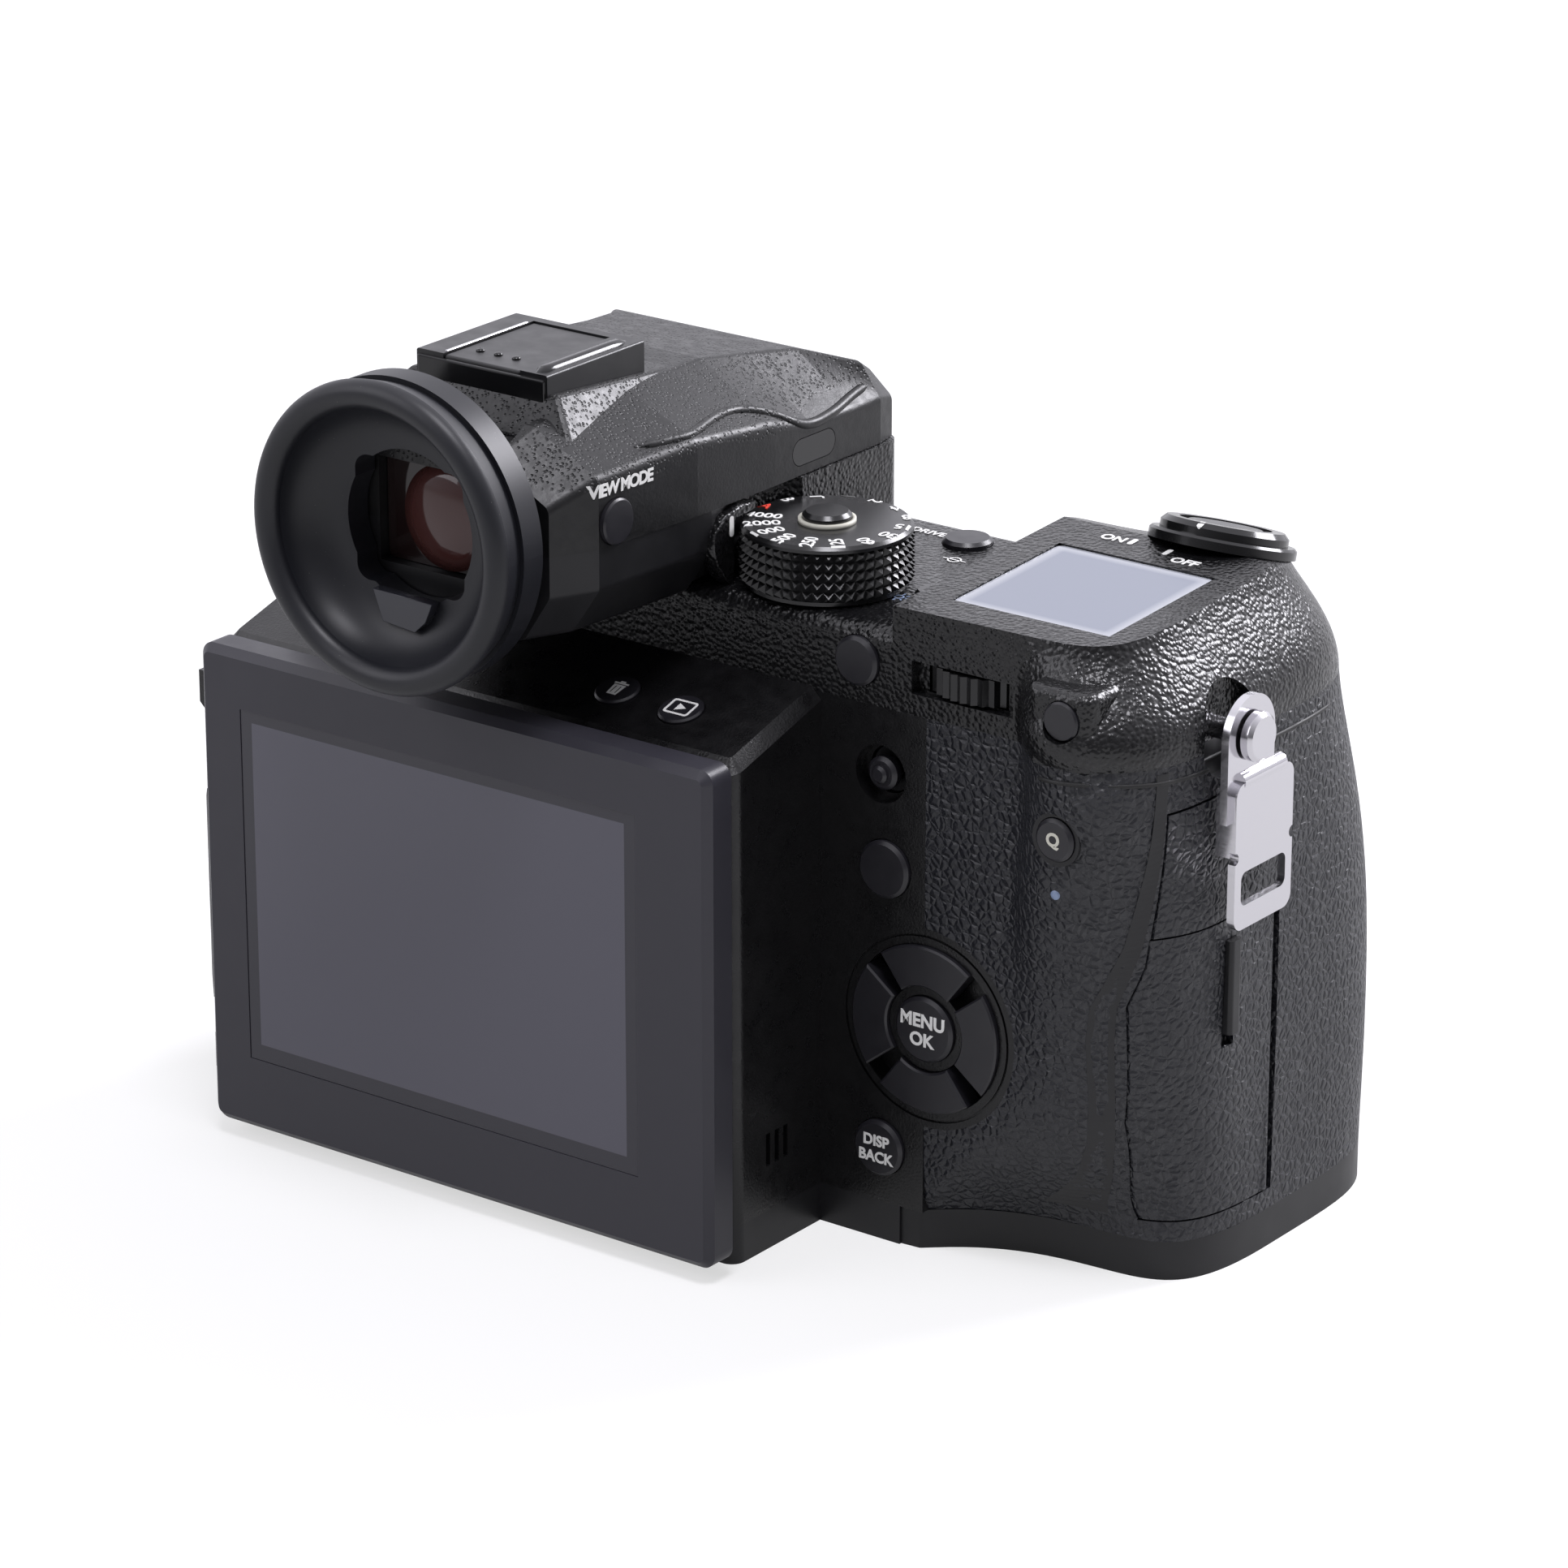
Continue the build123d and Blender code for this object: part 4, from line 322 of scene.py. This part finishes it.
# Pieces that the scene adds to the solids. Places and sizes are given in millimetres.
class Ground:
    """The surface of some nodes, on which a flat drawing is laid."""

    start, reach = 25 * MM, 60 * MM

    def __init__(self, *names):
        self.trees = []
        for name in names:
            mesh = nodes[name].data
            self.trees.append(BVHTree.FromPolygons([v.co for v in mesh.vertices],
                                                   [p.vertices for p in mesh.polygons]))

    def under(self, spot, out):
        """The outermost point of the surface on the line through a spot along a heading."""
        best = None
        for tree in self.trees:
            hit = tree.ray_cast(spot + out * self.start, -out, self.reach)[0]
            if hit is not None and (best is None or (hit - best).dot(out) > 0):
                best = hit
        return spot if best is None else best


def placed(name, data):
    """A new object of this data, linked into the scene."""
    made = bpy.data.objects.new(name, data)
    bpy.context.collection.objects.link(made)
    return made


def add(name, mesh, finish, body):
    """Makes a piece of a mesh, with its finish, riding on a body."""
    mesh.materials.clear()
    mesh.materials.append(finishes[finish])
    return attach(placed(name, mesh), body)


def baked(curve):
    """The mesh of a curve or text, whose object is then removed."""
    holder = placed("drawing", curve)
    view = bpy.context.evaluated_depsgraph_get()
    mesh = bpy.data.meshes.new_from_object(holder.evaluated_get(view))
    bpy.data.objects.remove(holder)
    return mesh


def meshed(shape, name):
    """The mesh of a bmesh, which is then freed."""
    mesh = bpy.data.meshes.new(name)
    shape.to_mesh(mesh)
    shape.free()
    return mesh


def smoothed(mesh):
    """The same mesh, shaded smooth."""
    for face in mesh.polygons:
        face.use_smooth = True
    return mesh


def bevel_edges(shape, size, segments):
    """Rounds every edge of a bmesh."""
    bmesh.ops.bevel(shape, geom=shape.edges[:], offset=size * MM, segments=segments, profile=0.5,
                    affect="EDGES", material=-1)


def letters(words, height, weight, lean=0.0, spacing=1.0):
    """Raised letters of this height, centred on the origin."""
    half_rise = 0.03
    curve = bpy.data.curves.new("letters", "FONT")
    curve.body = words
    curve.align_x = "CENTER"
    curve.offset = weight
    curve.shear = lean
    curve.space_character = spacing
    curve.extrude = half_rise / height
    curve.resolution_u = 4
    mesh = baked(curve)
    xs = [v.co.x for v in mesh.vertices]
    ys = [v.co.y for v in mesh.vertices]
    middle = Vector(((max(xs) + min(xs)) / 2, (max(ys) + min(ys)) / 2, 0))
    scale = height * MM / (max(ys) - min(ys))
    mesh.transform(Matrix.Scale(scale, 4) @ Matrix.Translation(-middle))
    return mesh


def drawing(*outlines, thickness=0.02, rounding=0.0):
    """A flat plate with straight edges; an outline inside another is a hole."""
    curve = bpy.data.curves.new("drawing", "CURVE")
    curve.dimensions = "2D"
    curve.fill_mode = "BOTH"
    curve.extrude = thickness * MM
    curve.bevel_depth = rounding * MM
    curve.bevel_resolution = 2
    for outline in outlines:
        spline = curve.splines.new("POLY")
        spline.points.add(len(outline) - 1)
        for point, (x, y) in zip(spline.points, outline):
            point.co = (x * MM, y * MM, 0, 1)
        spline.use_cyclic_u = True
    return baked(curve)


def lay(mesh, place, right, up, ground=None, stand=0.06):
    """Puts a flat mesh at a place, facing right x up, standing a little off the ground under it."""
    right, up = Vector(right).normalized(), Vector(up).normalized()
    out = right.cross(up)
    for vertex in mesh.vertices:
        flat = Vector(place) * MM + right * vertex.co.x + up * vertex.co.y
        if ground is not None:
            flat = ground.under(flat, out)
        vertex.co = flat + out * (vertex.co.z + stand * MM)
    mesh.update()
    return mesh


def circle(radius, centre=(0, 0), steps=32, start=0.0, sweep=360.0):
    """Points round a circle or an arc."""
    count = steps if sweep >= 360 else steps + 1
    angles = [math.radians(start + sweep * index / steps) for index in range(count)]
    return [(centre[0] + radius * math.cos(a), centre[1] + radius * math.sin(a)) for a in angles]


def rounded(width, height, radius):
    """Points round a rectangle with rounded corners, centred on the origin."""
    points = []
    for quarter, (sx, sy) in enumerate(((1, 1), (-1, 1), (-1, -1), (1, -1))):
        corner = (sx * (width / 2 - radius), sy * (height / 2 - radius))
        points += circle(radius, corner, steps=6, start=90 * quarter, sweep=90)
    return points


def bar(start, end, half):
    """Points round a bar along X."""
    return [(start, -half), (end, -half), (end, half), (start, half)]


def box(low, high, bevel, segments=3):
    """A box between two corners, with bevelled edges."""
    shape = bmesh.new()
    bmesh.ops.create_cube(shape, size=1)
    size = Vector(high) - Vector(low)
    centre = (Vector(high) + Vector(low)) / 2
    bmesh.ops.scale(shape, verts=shape.verts, vec=size * MM)
    bmesh.ops.translate(shape, verts=shape.verts, vec=centre * MM)
    bevel_edges(shape, bevel, segments)
    return meshed(shape, "box")


def turned(profile, centre, steps=48, axis=(0, 0, 1)):
    """A body of revolution: the profile gives the radius and the height along the axis."""
    shape = bmesh.new()
    points = [shape.verts.new((radius * MM, 0, height * MM)) for radius, height in profile]
    edges = [shape.edges.new(pair) for pair in zip(points, points[1:] + points[:1])]
    bmesh.ops.spin(shape, geom=points + edges, cent=(0, 0, 0), axis=(0, 0, 1), dvec=(0, 0, 0),
                   angle=math.tau, steps=steps, use_merge=True, use_duplicate=False)
    bmesh.ops.remove_doubles(shape, verts=shape.verts, dist=0.001 * MM)
    bmesh.ops.recalc_face_normals(shape, faces=shape.faces)
    turn = Vector((0, 0, 1)).rotation_difference(Vector(axis)).to_matrix().to_4x4()
    seat = Matrix.Translation(Vector(centre) * MM) @ turn
    bmesh.ops.transform(shape, matrix=seat, verts=shape.verts)
    return smoothed(meshed(shape, "turned"))


def ridge(points, radius, ground=None, out=(1, 0, 0), sunk=0.0):
    """A smooth round bead through some places, sunk a little into the ground under it."""
    tip = 0.35
    line = bpy.data.curves.new("ridge", "CURVE")
    line.dimensions = "3D"
    spline = line.splines.new("NURBS")
    spline.points.add(len(points) - 1)
    for point, place in zip(spline.points, points):
        point.co = (*(Vector(place) * MM), 1)
    spline.order_u = 3
    spline.use_endpoint_u = True
    spline.resolution_u = 6
    path = [v.co.copy() for v in baked(line).vertices]
    if ground is not None:
        path = [ground.under(spot, Vector(out)) - Vector(out) * sunk * MM for spot in path]
    bead = bpy.data.curves.new("bead", "CURVE")
    bead.dimensions = "3D"
    bead.bevel_depth = radius * MM
    bead.bevel_resolution = 3
    bead.use_fill_caps = True
    run = bead.splines.new("POLY")
    run.points.add(len(path) - 1)
    for index, (point, spot) in enumerate(zip(run.points, path)):
        point.co = (*spot, 1)
        point.radius = tip if index in (0, len(path) - 1) else 1.0
    return smoothed(baked(bead))


def centre_of(name):
    """The middle of a node's box."""
    low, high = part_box(name)
    return (Vector(low) + Vector(high)) / 2 / MM


def top_of(name):
    """The height of a node's highest point."""
    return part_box(name)[1][2] / MM


# The directions right and up on each face that carries marks, and the surfaces under them
rear = ((1, 0, 0), (0, 0, 1))
deck = ((1, 0, 0), (0, 1, 0))
right_side = ((0, 1, 0), (0, 0, 1))
hump_top = ((1, 0, 0), (0, 0.9615, 0.2747))
camera_ground = Ground("top_cover", "rear_cover", "base_plate", "screen_housing")
finder_ground = Ground("viewfinder_cover", "viewfinder_base")
grip_ground = Ground("leather_covering", "card_door")


def mark_button(button, name, mesh, face, finish="white_ink", lift=0.0):
    """Lays a word or sign on a button, this much above the middle of its face."""
    spot = centre_of(button) + Vector((0, 0, lift))
    add(name, lay(mesh, spot, *face, Ground(button)), finish, f"{button}_body")


def button_labels():
    """The words and signs on the rear buttons."""
    menu_height, back_height, bold = 1.95, 1.62, 0.03
    mark_button("menu_button", "menu_word", letters("MENU", menu_height, bold), rear, lift=1.35)
    mark_button("menu_button", "ok_word", letters("OK", menu_height, bold), rear, lift=-1.3)
    mark_button("back_button", "disp_word", letters("DISP", back_height, bold), rear, lift=1.15)
    mark_button("back_button", "back_word", letters("BACK", back_height, bold), rear, lift=-1.15)
    mark_button("quick_button", "quick_word", letters("Q", 2.25, 0.035), rear, "cream_ink")
    can = [(-0.95, 0.75), (-0.75, -1.45), (0.75, -1.45), (0.95, 0.75)]
    ribs = [[(x - 0.11, 0.45), (x - 0.09, -1.1), (x + 0.09, -1.1), (x + 0.11, 0.45)]
            for x in (-0.38, 0.38)]
    lid = [(-1.15, 0.95), (1.15, 0.95), (1.15, 1.25), (0.4, 1.25), (0.4, 1.6), (-0.4, 1.6),
           (-0.4, 1.25), (-1.15, 1.25)]
    mark_button("delete_button", "bin_sign", drawing(can, *ribs), hump_top)
    mark_button("delete_button", "bin_lid_sign", drawing(lid), hump_top)
    border = drawing(rounded(4.0, 3.2, 0.5), rounded(3.3, 2.5, 0.25))
    arrow = drawing([(-0.6, -0.8), (0.85, 0.0), (-0.6, 0.8)])
    mark_button("playback_button", "play_frame_sign", border, hump_top)
    mark_button("playback_button", "play_arrow_sign", arrow, hump_top)


def mark_deck(name, mesh, place, finish="white_ink"):
    """Lays a word or sign on the top of the housing."""
    add(name, lay(mesh, place, *deck, camera_ground), finish, "camera_body")


def deck_labels():
    """The words and signs printed on the top of the housing."""
    deck_height, pod_height, stroke = 86.0, 91.0, 0.12
    mark_deck("drive_word", letters("DRIVE", 1.5, 0.02), (33.3, 15.2, deck_height))
    for name, words, x, y in (("on_word", "ON", 63.4, 14.6), ("off_word", "OFF", 76.2, 12.2)):
        mark_deck(name, letters(words, 1.8, 0.03), (x, y, pod_height))
    for name, x, y in (("on_tick", 66.3, 14.8), ("off_tick", 72.3, 14.0)):
        mark_deck(name, drawing(rounded(0.8, 2.1, 0.38)), (x, y, pod_height))
    rays = []
    for turn in range(8):
        angle = math.radians(45 * turn)
        cos, sin = math.cos(angle), math.sin(angle)
        rays.append([(x * cos - y * sin, x * sin + y * cos) for x, y in bar(0.95, 1.45, stroke)])
    lamp_sign = drawing(circle(0.72, steps=20), circle(0.5, steps=20), *rays)
    mark_deck("lamp_sign", lamp_sign, (45.9, -9.2, deck_height), "pale_blue")
    sync_place = (42.8, 7.6, deck_height)
    mark_deck("sync_sign", drawing(circle(1.0, steps=24), circle(0.76, steps=24)), sync_place)
    mark_deck("sync_bar_sign", drawing(bar(-1.8, 1.8, stroke)), sync_place)


def dial_labels(name, words, radius, height):
    """Labels round a dial: each reads from the rim towards the middle, and A is red."""
    first_angle = 179.0
    middle, top, ground = centre_of(name), top_of(name), Ground(name)
    for index, word in enumerate(words):
        angle = math.radians(first_angle - index * 360 / len(words))
        radial = Vector((math.cos(angle), math.sin(angle), 0))
        mesh = letters(word, height, 0.015, spacing=0.96)
        half = max(v.co.x for v in mesh.vertices) / MM
        place = Vector((middle.x, middle.y, top)) + radial * (radius - half)
        lay(mesh, place, -radial, Vector((0, 0, 1)).cross(-radial), ground)
        finish = "red_ink" if word == "A" else "white_ink"
        add(f"{name}_mark_{index}", mesh, finish, f"{name}_body")


def finder_side():
    """The label and the brow on the finder's right side."""
    side = 24.5
    words = letters("VIEW MODE", 1.8, 0.03, lean=0.06, spacing=0.84)
    label = lay(words, (side, -38.4, 104.3), *right_side, finder_ground, stand=0.12)
    add("view_mode_word", label, "white_ink", "viewfinder")
    brow = [(-33.0, 107.3), (-24.0, 106.9), (-16.0, 107.3), (-10.5, 107.0), (-6.0, 105.6),
            (-2.2, 103.4), (1.0, 102.6), (5.2, 102.9), (9.6, 103.4), (15.5, 104.4)]
    bead = ridge([(side, y, z) for y, z in brow], 0.75, finder_ground, sunk=0.42)
    add("finder_brow", bead, "finder_paint", "viewfinder")


def shoe_cover():
    """The cover that closes the hot shoe: its plates, three studs, silver strip and spring bar."""
    cover = box((-6.35, -38.1, 113.55), (6.35, -19.6, 116.2), 0.35)
    add("shoe_cover", cover, "shoe_metal", "viewfinder")
    tongue = box((-9.25, -38.15, 113.55), (9.25, -19.55, 115.55), 0.1, 1)
    add("shoe_cover_tongue", tongue, "shoe_metal", "viewfinder")
    plate = box((-10.6, -38.6, 108.6), (10.6, -37.9, 115.75), 0.3)
    add("shoe_cover_plate", plate, "gloss_plastic", "viewfinder")
    stud_profile = [(0.0, 0.0), (0.62, 0.0), (0.58, 0.22), (0.38, 0.38), (0.0, 0.42)]
    for index, x in enumerate((-3.6, -0.6, 2.4)):
        stud = turned(stud_profile, (x, -34.0, 116.15), 20)
        add(f"shoe_cover_stud_{index}", stud, "gloss_plastic", "viewfinder")
    strip = box((-6.95, -37.2, 116.1), (-6.5, -20.6, 116.5), 0.06, 1)
    add("shoe_silver_strip", strip, "steel", "viewfinder")
    spring = ridge([(8.9, y, 115.9) for y in (-38.0, -30.0, -19.2)], 1.15)
    add("shoe_spring_bar", spring, "gloss_plastic", "viewfinder")


def shoe_shoulders():
    """The raised roof on both sides of the hot shoe, sloping to the finder's shoulders."""
    ahead_above, ahead_below = (11.6, -7.0, 111.3), (13.2, -7.0, 109.4)
    behind_above, behind_below = (12.2, -38.0, 113.8), (17.4, -41.5, 108.2)
    shape = bmesh.new()
    bmesh.ops.create_cube(shape, size=1)
    for vertex in shape.verts:
        above, below = behind_above, behind_below
        if vertex.co.y > 0:
            above, below = ahead_above, ahead_below
        half, y, z = above if vertex.co.z > 0 else below
        vertex.co = Vector((math.copysign(half, vertex.co.x), y, z)) * MM
    bevel_edges(shape, 0.7, 3)
    add("shoe_shoulders", meshed(shape, "shoulders"), "finder_paint", "viewfinder")


def pedestal_flare():
    """The curved wall behind the speed dial, clear of it, with the white index mark."""
    outline = [(-13.0, 95.5), (-15.9, 95.7), (-19.2, 95.0), (-21.2, 93.2), (-21.6, 91.2),
               (-20.6, 88.9), (-19.2, 87.0), (-17.6, 85.5), (-17.5, 93.8), (-16.9, 94.7),
               (-13.0, 95.0)]
    wall = drawing(outline, thickness=1.0, rounding=0.3)
    wall = lay(wall, (23.9, 0.0, 0.0), *right_side, stand=0.0)
    add("pedestal_flare", wall, "crinkle_paint", "camera_body")
    mark = lay(drawing(rounded(0.9, 2.8, 0.4)), (25.2, -18.1, 93.7), *right_side, stand=0.08)
    add("index_mark", mark, "white_ink", "camera_body")


def eyepiece():
    """The reddish lens and the small sensor window seen inside the eyecup."""
    profile = [(0.0, 1.1), (2.6, 0.95), (5.2, 0.5), (7.2, -0.2), (7.2, -0.7), (0.0, -0.7)]
    lens = turned(profile, (2.2, -48.4, 98.2), axis=(0, -1, 0))
    add("eyepiece_front_lens", lens, "lens_red", "viewfinder")
    window = drawing([(-4.9, 1.9), (4.7, 1.6), (3.6, -1.0), (1.9, -2.6), (-3.4, -2.1)],
                     thickness=0.75, rounding=0.1)
    add("eye_sensor_window", lay(window, (0.0, -54.0, 87.0), *rear), "window_grey", "viewfinder")


def door_trim():
    """The smooth strip along the card door's rear edge."""
    near, far, step_length, side = 0.75, 2.5, 0.8, 94.0
    seam = [(-16.4, 74.2), (-16.5, 68.0), (-16.5, 60.0), (-16.6, 50.0), (-17.2, 45.0),
            (-17.6, 41.0), (-17.2, 36.0), (-16.4, 30.0), (-15.4, 24.0), (-14.0, 18.0),
            (-12.4, 13.0), (-11.0, 8.6)]
    fine = []
    for (y, z), (next_y, next_z) in zip(seam, seam[1:]):
        steps = max(2, round((z - next_z) / step_length))
        fine += [(y + (next_y - y) * step / steps, z + (next_z - z) * step / steps)
                 for step in range(steps)]
    fine.append(seam[-1])
    outline = [(y - near, z) for y, z in fine] + [(y - far, z) for y, z in reversed(fine)]
    strip = drawing(outline, thickness=0.03)
    strip = lay(strip, (side, 0.0, 0.0), *right_side, grip_ground, stand=0.08)
    add("door_edge_strip", strip, "satin_plastic", "camera_body")


def pod_step_shadow():
    """A raised bead along the step where the painted shoulder meets the grip's leather; the step is
    real, but the bead's dark colour is painted shadow under the shoulder's small overhang.
    """
    shadow_path = [(79.0, -27.0, 72.7), (83.0, -27.0, 73.2), (87.0, -24.0, 73.4), (90.0, -18.0, 72.9),
             (92.0, -10.0, 72.5), (93.5, 0.0, 72.5), (94.5, 12.0, 72.4), (94.5, 22.0, 72.3)]
    shoulder_ground = Ground("grip_shell", "leather_covering", "top_cover", "card_door")
    sides = [(shadow_path[:3], (0, -1, 0)), (shadow_path[2:], (1, 0, 0))]
    for index, (run, out) in enumerate(sides):
        # The dark bead stands in for the shade under the shoulder's overhang: painted shadow.
        bead = ridge(run, 0.32, shoulder_ground, out, sunk=0.08)
        add(f"pod_overhang_shadow_{index}", bead, "dark_parts", "camera_body")


def small_marks():
    """The pale signal lamp, the power ring's white notch and the ring round the dial's lock."""
    profile = [(0.0, 0.25), (0.5, 0.18), (0.7, 0.0), (0.7, -0.5), (0.0, -0.5)]
    lamp = turned(profile, (0, 0, 0), 20)
    spot = grip_ground.under(Vector((81.4, -23.0, 57.1)) * MM, Vector((0, -1, 0)))
    lamp.transform(Matrix.Translation(spot) @ Matrix.Rotation(math.radians(90), 4, "X"))
    add("signal_lamp", lamp, "pale_blue", "camera_body")
    notch_place = (75.3, 17.3, top_of("power_lever"))
    notch = lay(drawing(rounded(0.8, 1.5, 0.35)), notch_place, *deck, Ground("power_lever"))
    add("power_notch_mark", notch, "white_ink", "power_lever_body")
    inner, outer, low, high = 3.35, 3.85, 94.05, 94.75
    section = [(inner, low), (outer, low), (outer, high), (inner, high)]
    add("dial_lock_ring", turned(section, (34.8, -10.0, 0.0)), "cream_ink", "speed_dial_body")


# Studio
def studio_world():
    """A white surround for the camera; other rays see it dimmer, brightest above the far left."""
    bright_side, dim = (-0.45, 0.65, 0.6), 0.16
    cool_white, white = (0.94, 0.93, 1.0, 1), (1, 1, 1, 1)
    world = bpy.data.worlds.new("studio")
    bpy.context.scene.world = world
    made = NodeTree(world)
    path = made.node("ShaderNodeLightPath").outputs
    heading = made.node("ShaderNodeTexCoord").outputs["Generated"]
    rise = made.node("ShaderNodeVectorMath", operation="DOT_PRODUCT")
    for socket, value in zip(rise.inputs, (heading, bright_side)):
        made.feed(socket, value)
    for_mirrors, for_plain = [made.remap(rise.outputs["Value"], -0.7, 0.8, dim, bright)
                              for bright in (1.3, 0.6)]
    mirrored = made.combine("MAXIMUM", path["Is Glossy Ray"], path["Is Transmission Ray"])
    strength = made.combine("MULTIPLY", mirrored, for_mirrors)
    strength = made.combine("MAXIMUM", strength, for_plain)
    strength = made.combine("MAXIMUM", strength, path["Is Camera Ray"])
    colour = made.node("ShaderNodeMixRGB", Fac=path["Is Camera Ray"], Color1=cool_white,
                       Color2=white)
    back = made.tree.nodes["Background"]
    made.feed(back.inputs["Color"], colour.outputs["Color"])
    made.feed(back.inputs["Strength"], strength)


def floor():
    """A white floor that keeps the object's soft shadow."""
    near, far = 0.4, 1.5
    seen_near, seen_far, unseen = 0.62, 1.05, 0.28
    white = Finish("floor_white", (0.42, 0.42, 0.42), 0.9, Specular_IOR_Level=0.0,
                   Emission_Color=(1, 1, 1, 1))
    distance = white.node("ShaderNodeVectorMath", operation="LENGTH", Vector=white.place)
    seen = white.remap(distance.outputs["Value"], near, far, seen_near, seen_far)
    camera_ray = white.node("ShaderNodeLightPath").outputs["Is Camera Ray"]
    glow = white.remap(camera_ray, 0.0, 1.0, unseen, seen)
    white.feed(white.surface.inputs["Emission Strength"], glow)
    sheet = bmesh.new()
    bmesh.ops.create_grid(sheet, x_segments=1, y_segments=1, size=3.0)
    piece = placed("floor", meshed(sheet, "floor"))
    piece.data.materials.append(white.material)


def aimed(name, data, place, target):
    """A lamp or camera at a place in metres, looking at a target."""
    made = placed(name, data)
    made.location = place
    made.rotation_euler = (Vector(target) - Vector(place)).to_track_quat("-Z", "Y").to_euler()
    return made


def soft_box(name, place, side, power):
    """A square lamp that shines on the object's middle."""
    lamp = bpy.data.lights.new(name, "AREA")
    lamp.shape = "RECTANGLE"
    lamp.size = lamp.size_y = side
    lamp.energy = power
    lamp.color = (0.95, 0.94, 1.0)
    aimed(name, lamp, place, (0.03, 0, 0.05))


def camera():
    """The photograph's view, solved from the screen's and the body's corners."""
    data = bpy.data.cameras.new("camera")
    data.lens = 146.3
    data.sensor_width = 36.0
    data.clip_start = 0.01
    place = Vector((505.5, -648.2, 352.3)) * MM
    target = Vector((55.6, -47.2, 73.2)) * MM
    bpy.context.scene.camera = aimed("camera", data, place, target)


speeds = ("A", "B", "T", "1", "2", "4", "8", "15", "30", "60", "125", "250", "500", "1000",
          "2000", "4000")
sensitivities = ("A", "C", "100", "200", "400", "800", "1600", "3200", "6400", "H")

bpy.context.scene.view_settings.view_transform = "Standard"
dress_nodes()
button_labels()
deck_labels()
dial_labels("speed_dial", speeds, 11.1, 1.9)
dial_labels("iso_dial", sensitivities, 10.0, 1.7)
finder_side()
shoe_cover()
shoe_shoulders()
pedestal_flare()
eyepiece()
door_trim()
pod_step_shadow()
small_marks()
studio_world()
floor()
camera()
soft_box("key", (0.42, 0.95, 0.75), 0.5, 17)
soft_box("top", (0.25, -0.25, 1.2), 0.35, 7)
soft_box("fill", (-0.7, -0.9, 0.8), 0.8, 4)
